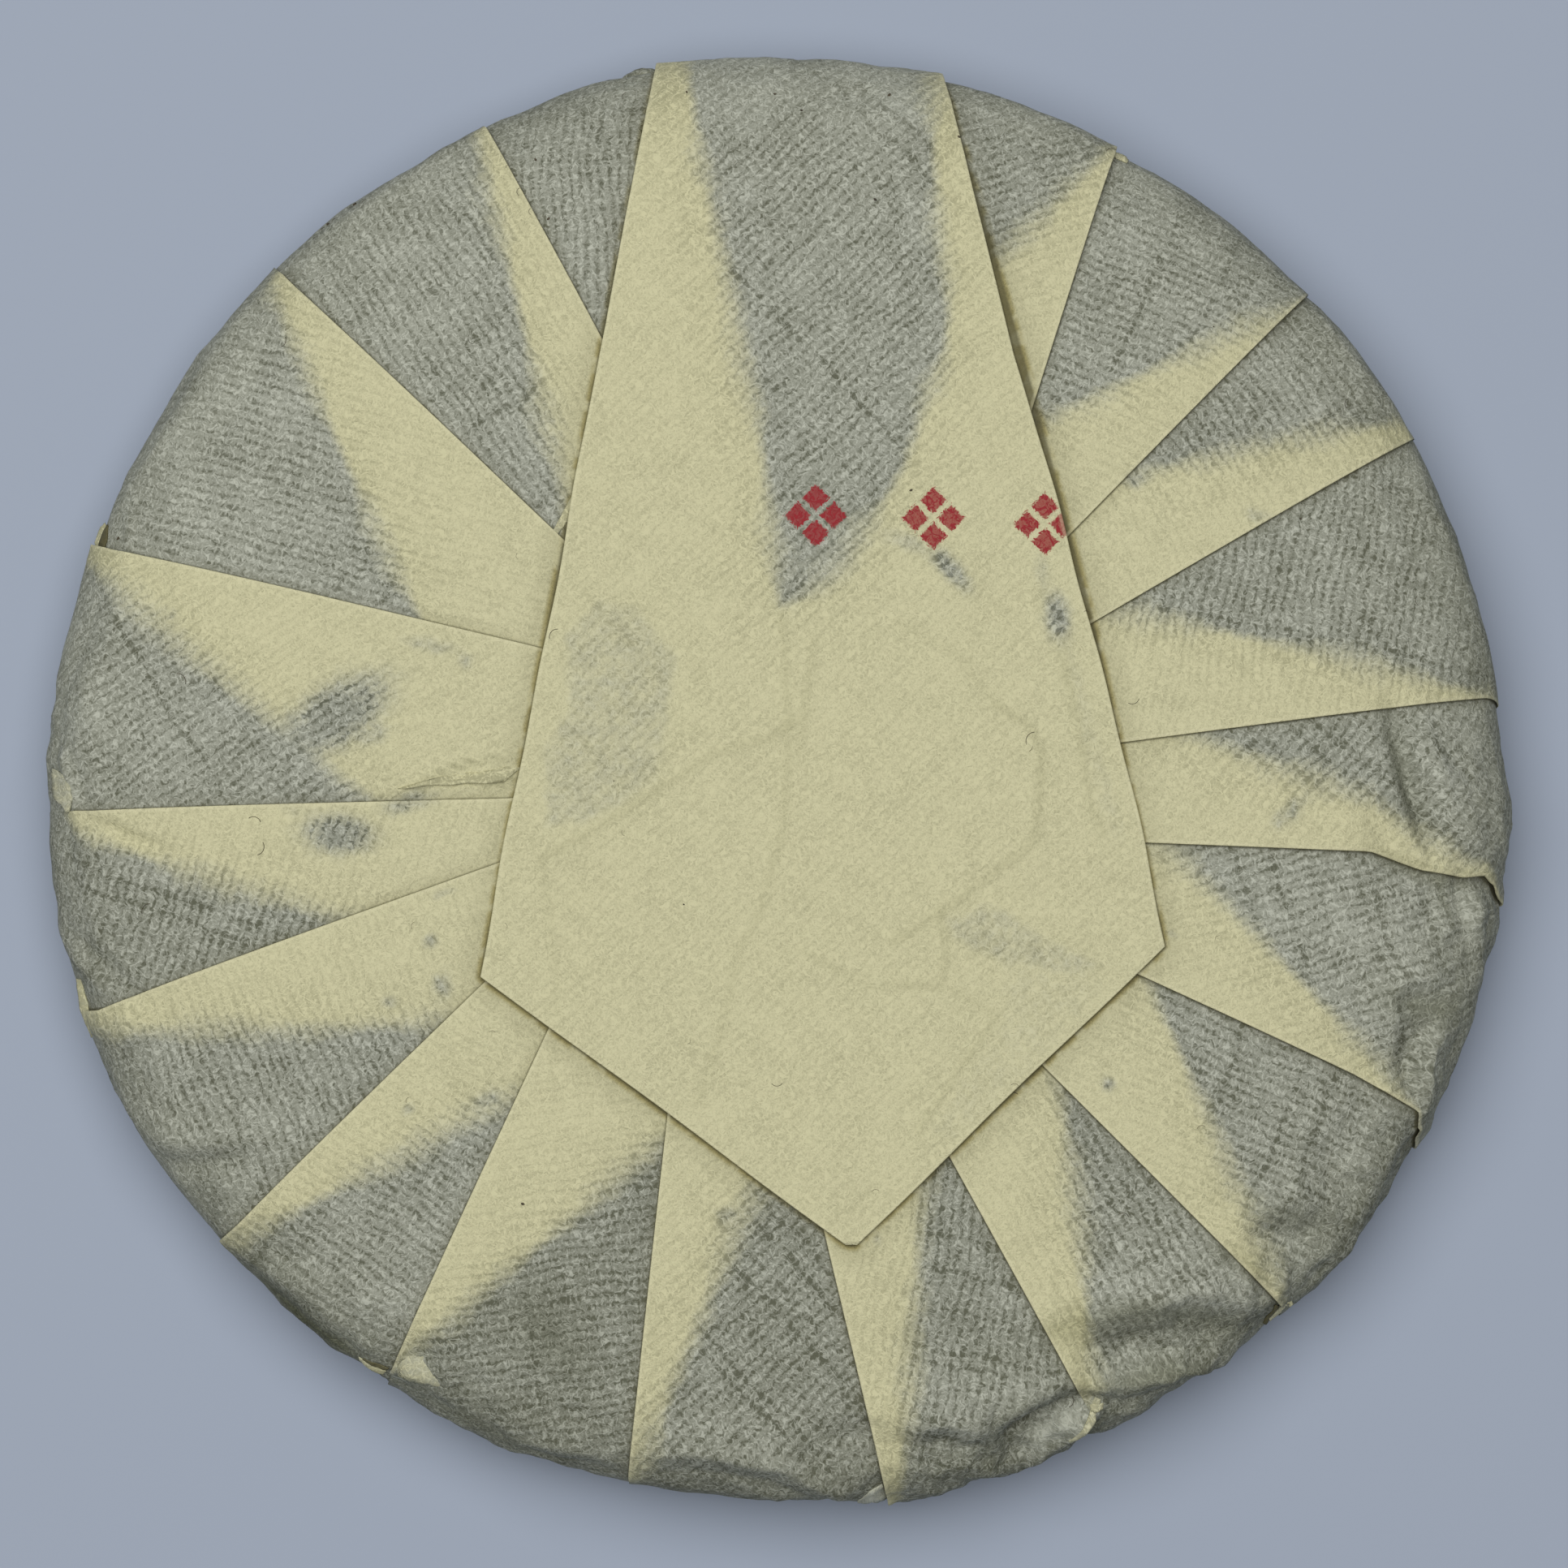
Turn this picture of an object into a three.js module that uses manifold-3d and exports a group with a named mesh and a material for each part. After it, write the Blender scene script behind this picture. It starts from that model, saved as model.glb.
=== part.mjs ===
// A raw pu-erh tea cake in its paper wrapper, lying with the folded side up: one closed solid.
// One square sheet goes round the pressed cake. Its margin is gathered over the rim in seventeen
// pleats, each lying over the one before, and its last corner comes over them all as a broad flap.
// Millimetres, +Z up. The origin is on the table under the middle of the cake. The flap comes over
// the rim on the +Y side. Angles are in degrees, anticlockwise from +X.
import * as THREE from "three";
import { mergeVertices } from "three/addons/utils/BufferGeometryUtils.js";
import Module from "manifold-3d";

const { degToRad, radToDeg, lerp, smoothstep, clamp } = THREE.MathUtils;

// The cake under its paper
const meanRadius = 99.2;
const thickness = 25;
const widestHeight = 11; // height of the widest line of the wall
const restRadius = 68; // the flat spot that it lies on
const backSquareness = 6; // how flat the back stays before it turns down
const backRoundness = 2.2; // how round the shoulder is
const footRoundness = 2.1;

// The outline is a little out of round: shifted to one side, and longer one way
const outlineShift = { amount: 0.4, toward: 315 };
const outlineOval = { amount: 0.7, longWay: 340 };

// Each fold runs nearly straight over the back, from the rim to under the flap.
// rim: where it crosses the rim; miss: how far its line passes from the cake's middle;
// lift: height of the folded edge over the paper beside it; ear: how far it stands out at the rim;
// turn: degrees that it turns over the last stretch to the rim
const pleats = [
  { rim: 113.8, miss: 8.0, lift: 0.8, ear: 0.5, turn: 0 },
  { rim: 134.1, miss: 4.3, lift: 0.9, ear: 0.8, turn: 0 },
  { rim: 160.2, miss: 10.4, lift: 0.8, ear: 1.6, turn: 0 },
  { rim: 181.9, miss: -1.0, lift: 0.9, ear: 0.7, turn: 1.5 },
  { rim: 198.2, miss: 2.5, lift: 0.9, ear: 1.2, turn: 0.6 },
  { rim: 219.4, miss: 8.4, lift: 0.8, ear: 0.7, turn: 0 },
  { rim: 236.7, miss: 14.4, lift: 0.9, ear: 0.9, turn: 0 },
  { rim: 258.0, miss: 10.0, lift: 0.8, ear: 0.3, turn: 0 },
  { rim: 278.9, miss: 8.0, lift: 0.9, ear: 1.1, turn: 0 },
  { rim: 296.5, miss: 3.3, lift: 0.9, ear: 0.6, turn: 0 },
  { rim: 314.2, miss: 1.4, lift: 0.8, ear: 0.8, turn: 0 },
  { rim: 333.1, miss: 2.3, lift: 1.0, ear: 0.9, turn: 0 },
  { rim: 354.2, miss: 5.8, lift: 1.3, ear: 0.9, turn: -3.5 },
  { rim: 366.3, miss: -0.7, lift: 0.9, ear: 0.2, turn: 0 },
  { rim: 388.7, miss: 2.6, lift: 0.8, ear: 0.3, turn: 0 },
  { rim: 402.8, miss: 4.4, lift: 0.8, ear: 0.6, turn: 0 },
  { rim: 421.8, miss: 17.6, lift: 0.9, ear: 0.7, turn: 0 },
];
const foldStart = { from: 40, full: 86 }; // degrees up the foot's curve where the folds come up
const foldEndRadius = 36; // inside this the folds are hidden, and run straight to the middle
const foldTurnFrom = 0.8; // share of the radius where a turning fold starts to turn
const earReach = { from: 0.86, full: 0.99 }; // shares of the radius over which an ear grows
const earSpread = 4; // degrees over which it dies away round the rim

// The closing flap, as a plan outline: it starts between two points of the rim, widens to two
// corners and ends in a blunt tip. Its long right side bows out a little.
const flap = {
  leftRim: 100.3,
  rightRim: 77,
  leftCorner: new THREE.Vector2(-40.3, -26.4),
  rightCorner: new THREE.Vector2(52.7, -24.2),
  tip: new THREE.Vector2(10.3, -63),
  tipWidth: 3,
  rightBow: 1.6,
  cover: 1.5, // height of its upper face over the cake's back
  root: 1.2, // depth to which it is sunk in the wrapper
  hem: 0.4, // depth of its upper face where it comes out of the wall
  rowsToRise: 4,
  archedTo: 0.6, // share of the radius where its rows stop following the rim
  rowsToCorners: 14,
  rowsToTip: 9,
  columns: 12,
};

// Crumpled paper low on the side between -Y and +X, as shallow waves
const crumple = { middle: 292, spread: 52, depth: 0.55, from: 0.82, full: 0.95 };
const crumpleWaves = { round: 41, shiftPerRing: 7 };

// The mesh: rings round the cake and columns from the flat spot to the middle of the back
const footRings = 6;
const shoulderRings = 9;
const shoulderSweep = 60; // degrees of the shoulder's curve
const innerShares = [0.73, 0.65, 0.56, 0.47, 0.365, 0.2]; // shares of the radius
const columnStep = 4.6; // degrees
const fewestSteps = 3; // between two folds
const weld = 1e-3;

const paperColour = new THREE.Color().setRGB(0.52, 0.51, 0.36, THREE.LinearSRGBColorSpace);

function outline(degrees) {
  const shift = outlineShift.amount * Math.cos(degToRad(degrees - outlineShift.toward));
  const oval = outlineOval.amount * Math.cos(2 * degToRad(degrees - outlineOval.longWay));
  return meanRadius + shift + oval;
}

// Height of the back at a share of the radius
function backHeight(share) {
  const rest = Math.max(0, 1 - share ** backSquareness);
  return widestHeight + (thickness - widestHeight) * rest ** (1 / backRoundness);
}

// A ring of corners: its share of the radius, its height, how far the folds have come up there
// and how far their ears stand out
function ringAt(share, height, fold) {
  return { share, height, fold, ear: fold * smoothstep(share, earReach.from, earReach.full) };
}

// Which way the surface faces at each ring, as a share outwards and a share upwards
function addFacing(rings) {
  rings.forEach((ring, i) => {
    const before = rings[Math.max(0, i - 1)];
    const after = rings[Math.min(rings.length - 1, i + 1)];
    const across = (after.share - before.share) * meanRadius;
    const along = new THREE.Vector2(across, after.height - before.height).normalize();
    ring.out = along.y;
    ring.up = -along.x;
  });
}

// The rings from the flat spot round the foot, over the shoulder and in to the middle
function profileRings() {
  const rings = [];
  const restShare = restRadius / meanRadius;
  for (let i = 0; i <= footRings; i++) {
    const a = degToRad((90 * i) / footRings);
    const share = restShare + (1 - restShare) * Math.sin(a) ** (2 / footRoundness);
    const height = widestHeight * (1 - Math.cos(a) ** (2 / footRoundness));
    rings.push(ringAt(share, height, smoothstep(radToDeg(a), foldStart.from, foldStart.full)));
  }
  for (let i = 1; i <= shoulderRings; i++) {
    const a = degToRad((shoulderSweep * i) / shoulderRings);
    const share = Math.cos(a) ** (2 / backSquareness);
    rings.push(ringAt(share, backHeight(share), 1));
  }
  for (const share of innerShares) {
    rings.push(ringAt(share, backHeight(share), 1));
  }
  addFacing(rings);
  return rings;
}

// Angle at which a fold crosses a ring
function foldAngle(pleat, ring) {
  if (ring.height <= widestHeight) return pleat.rim + pleat.turn;
  const slantAt = (radius) => radToDeg(Math.asin(clamp(pleat.miss / radius, -1, 1)));
  const slant = slantAt(Math.max(foldEndRadius, ring.share * meanRadius)) - slantAt(meanRadius);
  return pleat.rim - slant + pleat.turn * smoothstep(ring.share, foldTurnFrom, 1);
}

function crumpleAt(degrees, ring, ringNumber) {
  const away = Math.abs(((degrees - crumple.middle + 540) % 360) - 180);
  const round = 1 - smoothstep(away, 0, crumple.spread);
  const up = ring.fold * smoothstep(ring.share, crumple.from, crumple.full);
  const phase = degToRad(degrees * crumpleWaves.round) + ringNumber * crumpleWaves.shiftPerRing;
  return crumple.depth * round * up * Math.sin(phase);
}

// A ring's place at an angle, moved out along the way that the surface faces
function surfacePoint(degrees, ring, offset) {
  const radius = ring.share * outline(degrees) + ring.out * offset;
  const a = degToRad(degrees);
  const height = ring.height + ring.up * offset;
  return new THREE.Vector3(radius * Math.cos(a), radius * Math.sin(a), height);
}

// One column of corners on the pleat between a fold and the next. The pleat is high at its own
// fold and slopes down to the foot of the next.
function pleatColumn(pleat, next, across, rings) {
  return rings.map((ring, ringNumber) => {
    const start = foldAngle(pleat, ring);
    const degrees = lerp(start, foldAngle(next, ring), across);
    const ear = pleat.ear * ring.ear * Math.exp((start - degrees) / earSpread);
    const offset = (1 - across) * (pleat.lift * ring.fold + ear);
    return surfacePoint(degrees, ring, offset + crumpleAt(degrees, ring, ringNumber));
  });
}

// All columns, once round the cake. The last of one pleat and the first of the next are at one
// angle, low and high, with the step of the folded edge between them.
function wrapperColumns(rings) {
  const columns = [];
  pleats.forEach((pleat, i) => {
    const afterLast = { ...pleats[0], rim: pleats[0].rim + 360 };
    const next = pleats[i + 1] ?? afterLast;
    const steps = Math.max(fewestSteps, Math.round((next.rim - pleat.rim) / columnStep));
    for (let k = 0; k <= steps; k++) {
      columns.push(pleatColumn(pleat, next, k / steps, rings));
    }
  });
  return columns;
}

function pushQuad(list, a, b, c, d) {
  list.push(a, b, c, a, c, d);
}

// The two faces and four edges of a sheet between two grids of corners with the same rows
function pushSheet(list, upper, lower) {
  const end = upper.length - 1;
  const last = upper[0].length - 1;
  for (let r = 0; r < end; r++) {
    const [u, v, s, t] = [upper[r], upper[r + 1], lower[r], lower[r + 1]];
    for (let c = 0; c < last; c++) {
      pushQuad(list, u[c], v[c], v[c + 1], u[c + 1]);
      pushQuad(list, s[c], s[c + 1], t[c + 1], t[c]);
    }
    pushQuad(list, u[0], s[0], t[0], v[0]);
    pushQuad(list, u[last], v[last], t[last], s[last]);
  }
  for (let c = 0; c < last; c++) {
    pushQuad(list, upper[0][c], upper[0][c + 1], lower[0][c + 1], lower[0][c]);
    pushQuad(list, upper[end][c], lower[end][c], lower[end][c + 1], upper[end][c + 1]);
  }
}

// A closed geometry with shared corners, without the triangles that have no width
function closedGeometry(corners) {
  const geometry = mergeVertices(new THREE.BufferGeometry().setFromPoints(corners), weld);
  const index = geometry.index.array;
  const kept = [];
  for (let i = 0; i < index.length; i += 3) {
    const [a, b, c] = [index[i], index[i + 1], index[i + 2]];
    if (a !== b && b !== c && c !== a) kept.push(a, b, c);
  }
  geometry.setIndex(kept);
  return geometry;
}

function wrapperGeometry(rings) {
  const corners = [];
  const columns = wrapperColumns(rings);
  const under = new THREE.Vector3(0, 0, 0);
  const middle = new THREE.Vector3(0, 0, thickness);
  columns.forEach((column, i) => {
    const next = columns[(i + 1) % columns.length];
    corners.push(under, next[0], column[0]);
    for (let r = 0; r < rings.length - 1; r++) {
      pushQuad(corners, column[r], next[r], next[r + 1], column[r + 1]);
    }
    corners.push(column.at(-1), next.at(-1), middle);
  });
  return closedGeometry(corners);
}

function planPoint(degrees, radius) {
  const a = degToRad(degrees);
  return new THREE.Vector2(Math.cos(a), Math.sin(a)).multiplyScalar(radius);
}

// Angle at which the line from a point of the rim to a corner of the flap crosses a ring
function sideAngle(rimDegrees, corner, ring) {
  if (ring.height <= widestHeight) return rimDegrees;
  const from = planPoint(rimDegrees, meanRadius);
  const way = corner.clone().sub(from).normalize();
  const nearest = -from.dot(way);
  const half = (ring.share * meanRadius) ** 2 - from.lengthSq() + nearest ** 2;
  const at = from.addScaledVector(way, Math.max(0, nearest - Math.sqrt(Math.max(0, half))));
  return radToDeg(Math.atan2(at.y, at.x));
}

// Rows of the flap that follow the rim: from low on the wall, over the shoulder, to the back
function flapRimRows(rings) {
  return rings
    .filter((ring) => ring.fold > 0 && ring.share >= flap.archedTo)
    .map((ring) => {
      const left = sideAngle(flap.leftRim, flap.leftCorner, ring);
      const right = sideAngle(flap.rightRim, flap.rightCorner, ring);
      const row = [];
      for (let c = 0; c <= flap.columns; c++) {
        row.push({ ring, degrees: lerp(left, right, c / flap.columns) });
      }
      return row;
    });
}

// Rows of the flap over the back, as plan points: down to both corners, then in to the tip.
// The arch of the row before the first dies away towards the corners.
function flapBackRows(rowBefore) {
  const arch = rowBefore.map(({ ring, degrees }) => planPoint(degrees, ring.share * meanRadius));
  const [archLeft, archRight] = [arch[0], arch.at(-1)];
  const halfTip = new THREE.Vector2(flap.tipWidth / 2, 0);
  const rows = [];
  for (let i = 1; i <= flap.rowsToCorners + flap.rowsToTip; i++) {
    const toCorner = Math.min(1, i / flap.rowsToCorners);
    const toTip = Math.max(0, (i - flap.rowsToCorners) / flap.rowsToTip);
    const left = archLeft.clone().lerp(flap.leftCorner, toCorner);
    const right = archRight.clone().lerp(flap.rightCorner, toCorner);
    left.lerp(flap.tip.clone().sub(halfTip), toTip);
    right.lerp(flap.tip.clone().add(halfTip), toTip);
    right.x += flap.rightBow * Math.sin(Math.PI * toCorner);
    const row = arch.map((point, c) => {
      const across = c / flap.columns;
      const rise = point.clone().sub(archLeft.clone().lerp(archRight, across));
      return left.clone().lerp(right, across).addScaledVector(rise, (1 - toCorner) ** 2);
    });
    rows.push(row);
  }
  return rows;
}

function flapGeometry(rings) {
  const rimRows = flapRimRows(rings);
  const upper = [];
  const lower = [];
  rimRows.forEach((row, i) => {
    const offset = lerp(-flap.hem, flap.cover, smoothstep(i, 0, flap.rowsToRise));
    upper.push(row.map(({ ring, degrees }) => surfacePoint(degrees, ring, offset)));
    lower.push(row.map(({ ring, degrees }) => surfacePoint(degrees, ring, -flap.root)));
  });
  for (const row of flapBackRows(rimRows.at(-1))) {
    const heights = row.map((point) => backHeight(point.length() / meanRadius));
    upper.push(row.map(({ x, y }, c) => new THREE.Vector3(x, y, heights[c] + flap.cover)));
    lower.push(row.map(({ x, y }, c) => new THREE.Vector3(x, y, heights[c] - flap.root)));
  }
  const corners = [];
  pushSheet(corners, upper, lower);
  return closedGeometry(corners);
}

const wasm = await Module();
wasm.setup();

function solidFrom(geometry) {
  const mesh = new wasm.Mesh({
    numProp: 3,
    vertProperties: new Float32Array(geometry.getAttribute("position").array),
    triVerts: new Uint32Array(geometry.index.array),
  });
  return new wasm.Manifold(mesh);
}

function geometryFrom(solid) {
  const mesh = solid.getMesh();
  const geometry = new THREE.BufferGeometry();
  geometry.setAttribute("position", new THREE.BufferAttribute(mesh.vertProperties, 3));
  geometry.setIndex(new THREE.BufferAttribute(mesh.triVerts, 1));
  geometry.computeVertexNormals();
  return geometry;
}

const rings = profileRings();
const wrapper = solidFrom(wrapperGeometry(rings));
const closingFlap = solidFrom(flapGeometry(rings));

const cake = new THREE.Mesh(
  geometryFrom(wrapper.add(closingFlap)),
  new THREE.MeshStandardMaterial({ color: paperColour, roughness: 0.85, metalness: 0 }),
);
cake.name = "wrapped_tea_cake";

const part = new THREE.Group();
part.add(cake);

export default part;
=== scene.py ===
import collections
import math

import bmesh
import bpy
import numpy as np
from mathutils import Matrix


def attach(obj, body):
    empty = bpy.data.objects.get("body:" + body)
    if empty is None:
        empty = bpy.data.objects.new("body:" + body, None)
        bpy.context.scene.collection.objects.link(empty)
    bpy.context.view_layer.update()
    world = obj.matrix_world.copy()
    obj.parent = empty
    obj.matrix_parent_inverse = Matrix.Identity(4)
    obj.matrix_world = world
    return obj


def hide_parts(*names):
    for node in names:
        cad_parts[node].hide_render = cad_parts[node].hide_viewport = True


# A raw pu-erh tea cake in its paper wrapper, folded side up, seen from almost straight above.
# Lengths in the dictionaries are millimetres and angles degrees, anticlockwise from +X.
mm = 0.001
farAway = 99.0  # stands for no edge near

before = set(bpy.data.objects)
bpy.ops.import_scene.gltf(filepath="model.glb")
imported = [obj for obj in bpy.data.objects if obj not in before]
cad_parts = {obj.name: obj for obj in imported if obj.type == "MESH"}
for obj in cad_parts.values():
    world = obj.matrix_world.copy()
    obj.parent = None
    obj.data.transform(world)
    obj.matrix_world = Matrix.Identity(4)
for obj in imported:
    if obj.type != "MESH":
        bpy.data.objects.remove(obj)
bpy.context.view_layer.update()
print("frame: loaded", len(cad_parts), "node")


# Small helpers

def smooth(low, high, value):
    share = np.clip((value - low) / (high - low), 0, 1)
    return share * share * (3 - 2 * share)


def direction(degrees):
    return np.array([math.cos(math.radians(degrees)), math.sin(math.radians(degrees))])


# A maths node as a method of Value. Where it is swapped, the other value comes first.
def maths(operation, swapped=False):
    def apply(self, *others):
        given = (*others, self) if swapped else (self, *others)
        return self.tree.node("ShaderNodeMath", {"operation": operation}, dict(enumerate(given)))
    return apply


class Value:  # a socket of a node tree that Python's operators work on
    def __init__(self, tree, socket):
        self.tree = tree
        self.socket = socket

    __add__ = __radd__ = maths("ADD")
    __sub__ = maths("SUBTRACT")
    __rsub__ = maths("SUBTRACT", True)
    __mul__ = __rmul__ = maths("MULTIPLY")
    __truediv__ = maths("DIVIDE")
    __rtruediv__ = maths("DIVIDE", True)
    floor = maths("FLOOR")
    cos = maths("COSINE")
    abs = maths("ABSOLUTE")
    max = maths("MAXIMUM")

    def clamped(self):
        return self.tree.node("ShaderNodeClamp", {}, {0: self})

    def between(self, low, high):  # 0 below low, 1 above high, smooth on the way
        settings = {"interpolation_type": "SMOOTHSTEP"}
        return self.tree.node("ShaderNodeMapRange", settings, {0: self, 1: low, 2: high})


class Tree:  # makes the nodes of a shader or a geometry tree
    def __init__(self, nodeTree):
        self.nodeTree = nodeTree

    def plain(self, kind, settings, inputs):
        node = self.nodeTree.nodes.new(kind)
        for name, value in settings.items():
            setattr(node, name, value)
        for name, value in inputs.items():
            if isinstance(value, Value):
                self.nodeTree.links.new(value.socket, node.inputs[name])
            else:
                node.inputs[name].default_value = value
        return node

    def node(self, kind, settings=None, inputs=None, output=0):
        made = self.plain(kind, settings or {}, inputs or {})
        return Value(self, made.outputs[output])

    def vector(self, operation, first, second):
        return self.node("ShaderNodeVectorMath", {"operation": operation}, {0: first, 1: second})

    def scaled(self, vector, factor):
        return self.node("ShaderNodeVectorMath", {"operation": "SCALE"}, {0: vector, "Scale": factor})

    def split(self, vector):
        made = self.plain("ShaderNodeSeparateXYZ", {}, {0: vector})
        return [Value(self, socket) for socket in made.outputs]

    def combine(self, x, y, z=0.0):
        return self.node("ShaderNodeCombineXYZ", {}, {0: x, 1: y, 2: z})

    def mixColour(self, factor, first, second, blend="MIX"):
        settings = {"data_type": "RGBA", "blend_type": blend}
        return self.node("ShaderNodeMix", settings, {0: factor, 6: first, 7: second}, 2)

    def noise(self, place, scale, detail=2.0, rough=0.5, dimensions="3D", output=0):
        inputs = {"Vector": place, "Scale": scale, "Detail": detail, "Roughness": rough}
        return self.node("ShaderNodeTexNoise", {"noise_dimensions": dimensions}, inputs, output)

    def attribute(self, name):
        return self.node("ShaderNodeAttribute", {"attribute_name": name}, {}, 2)

    def named(self, name, kind="FLOAT"):  # the same in a geometry tree
        return self.node("GeometryNodeInputNamedAttribute", {"data_type": kind}, {"Name": name})


def meshObject(name, mesh):
    piece = bpy.data.objects.new(name, mesh)
    bpy.context.scene.collection.objects.link(piece)
    return piece


def setNumbers(mesh, name, values):  # a number or a vector at every point
    kind, key = ("FLOAT_VECTOR", "vector") if values.ndim > 1 else ("FLOAT", "value")
    mesh.attributes.new(name, kind, "POINT").data.foreach_set(key, values.ravel())


# A closed mesh from points (millimetres) and faces. The flat sheet's coordinates become its UV
# map, and each of the numbers an attribute that the paper or the crumpling reads.
def paperMesh(name, points, faces, sheet, numbers):
    mesh = bpy.data.meshes.new(name)
    mesh.from_pydata((points * mm).tolist(), [], faces)
    corner = np.empty(len(mesh.loops), dtype=np.int32)
    mesh.loops.foreach_get("vertex_index", corner)
    mesh.uv_layers.new(name="sheet").data.foreach_set("uv", (sheet[corner] * mm).ravel())
    for key, values in numbers.items():
        setNumbers(mesh, key, values)
    same = 0.00001 * mm  # points as near as this are one
    bm = bmesh.new()
    bm.from_mesh(mesh)
    bmesh.ops.remove_doubles(bm, verts=bm.verts, dist=same)
    bmesh.ops.dissolve_degenerate(bm, edges=bm.edges, dist=same)
    bmesh.ops.recalc_face_normals(bm, faces=bm.faces)
    bm.to_mesh(mesh)
    bm.free()
    mesh.polygons.foreach_set("use_smooth", [True] * len(mesh.polygons))
    return meshObject(name, mesh)


# The cake under its paper

cake = {
    "radius": 99.2,
    "thickness": 25.0,
    "widest": 11.0,  # height of the widest line of the wall
    "rest": 68.0,  # radius of the flat spot that it lies on
    "squareness": 6.0,
    "roundness": 2.2,
    "footRoundness": 2.1,
    "shift": (0.4, 315),  # the outline is shifted a little to one side
    "oval": (0.7, 340),  # and longer one way
    # How far the paper stands in or out of that outline, at every 15 degrees from +X
    "wander": (0, -0.4, 0.3, 0.3, 0.1, 0.7, 0.4, 0.6, -0.5, -0.5, -1.1, -0.6,
               0.5, 1, 0.9, -0.1, -0.4, -0.2, -0.2, 0.9, -0.2, 1, 0.4, -0.1),
}


def outlineRadius(degrees):
    shift = cake["shift"][0] * np.cos(np.radians(degrees - cake["shift"][1]))
    oval = cake["oval"][0] * np.cos(2 * np.radians(degrees - cake["oval"][1]))
    at = np.linspace(0, 360, len(cake["wander"]) + 1)
    wander = np.interp(np.mod(degrees, 360), at, cake["wander"] + cake["wander"][:1])
    return cake["radius"] + shift + oval + wander


def backHeight(share):
    rest = np.maximum(0, 1 - np.asarray(share, dtype=float) ** cake["squareness"])
    rise = cake["thickness"] - cake["widest"]
    return cake["widest"] + rise * rest ** (1 / cake["roundness"])


profileSteps = {
    "under": (0.0, 0.15, 0.3, 0.45, 0.58),  # shares of the radius
    "foot": 18,
    "shoulder": 46,
    "shoulderSweep": 60,  # degrees
    "back": 0.018,
    "inner": (0.24, 0.16, 0.08, 0.0),
    "backEnd": 0.3,
    "foldStart": (40, 86),  # degrees up the foot's curve where the folds come up
    "foldFrom": (0.05, 0.28),
    "earFrom": (0.86, 0.99),
}


# The cake's outline from the middle of the underside, round the foot and the shoulder, to the
# middle of the back, as arrays with one entry for each ring
def cakeProfile():
    steps = profileSteps
    rest = cake["rest"] / cake["radius"]
    a = np.radians(np.linspace(0, 90, steps["foot"] + 1))
    footShare = rest + (1 - rest) * np.sin(a) ** (2 / cake["footRoundness"])
    footHeight = cake["widest"] * (1 - np.clip(np.cos(a), 0, 1) ** (2 / cake["footRoundness"]))
    b = np.radians(np.linspace(0, steps["shoulderSweep"], steps["shoulder"] + 1))[1:]
    shoulder = np.cos(b) ** (2 / cake["squareness"])
    back = np.arange(shoulder[-1] - steps["back"], steps["backEnd"], -steps["back"])
    upper = np.concatenate([shoulder, back, steps["inner"]])
    flat = np.zeros(len(steps["under"]))
    share = np.concatenate([steps["under"], footShare, upper])
    height = np.concatenate([flat, footHeight, backHeight(upper)])
    widest = len(flat) + len(footShare) - 1
    degrees = np.concatenate([flat, np.degrees(a), np.full(len(share) - widest - 1, 90.0)])
    fold = smooth(*steps["foldStart"], degrees)
    radius = share * cake["radius"]
    run = np.concatenate([[0], np.cumsum(np.hypot(np.diff(radius), np.diff(height)))])
    along = np.stack([np.gradient(radius), np.gradient(height)])
    along /= np.linalg.norm(along, axis=0)
    return {
        "share": share,
        "radius": radius,
        "height": height,
        "out": along[1],
        "up": -along[0],
        "fold": fold * smooth(*steps["foldFrom"], share),
        "ear": fold * smooth(*steps["earFrom"], share),
        "run": run,
        "inset": run - run[widest],  # along the paper from the widest line
        "side": smooth(-1, 1, (height - cake["widest"]) / 6) * 2 - 1,  # -1 on the foot, 1 on the back
        "top": np.arange(len(share)) > widest,
    }


profile = cakeProfile()
surface = ("share", "height", "out", "up")  # what onCake takes from it


def polar(x, y):
    return np.degrees(np.arctan2(y, x)), np.hypot(x, y)


# Points on the cake's surface, and which way the surface faces there
def onCake(angle, share, height, out, up, offset):
    turned = np.radians(angle)
    radius = share * outlineRadius(angle) + out * offset
    tall = height + up * offset
    points = np.stack([radius * np.cos(turned), radius * np.sin(turned), tall + 0 * turned], axis=-1)
    facing = np.stack([out * np.cos(turned), out * np.sin(turned), up + 0 * turned], axis=-1)
    return points, facing


def onShoulder(angle, inset, offset):
    top = profile["inset"] >= -6  # from a little under the widest line
    given = [np.interp(inset, profile["inset"][top], profile[key][top]) for key in surface]
    return onCake(angle, *given, offset)


# Where a point lies on the flat sheet, with the ribs along the first coordinate
weaveTurn = 137


def sheetPlace(angle, middle, run, radius, side):
    turned = np.radians(angle - middle)
    along = run + side * (radius - radius * np.cos(turned))
    across = radius * np.sin(turned)
    flat = along[..., None] * direction(middle) + across[..., None] * direction(middle + 90)
    ribs, cross = direction(weaveTurn), direction(weaveTurn + 90)
    return np.stack([flat @ ribs, flat @ cross], axis=-1)


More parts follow.
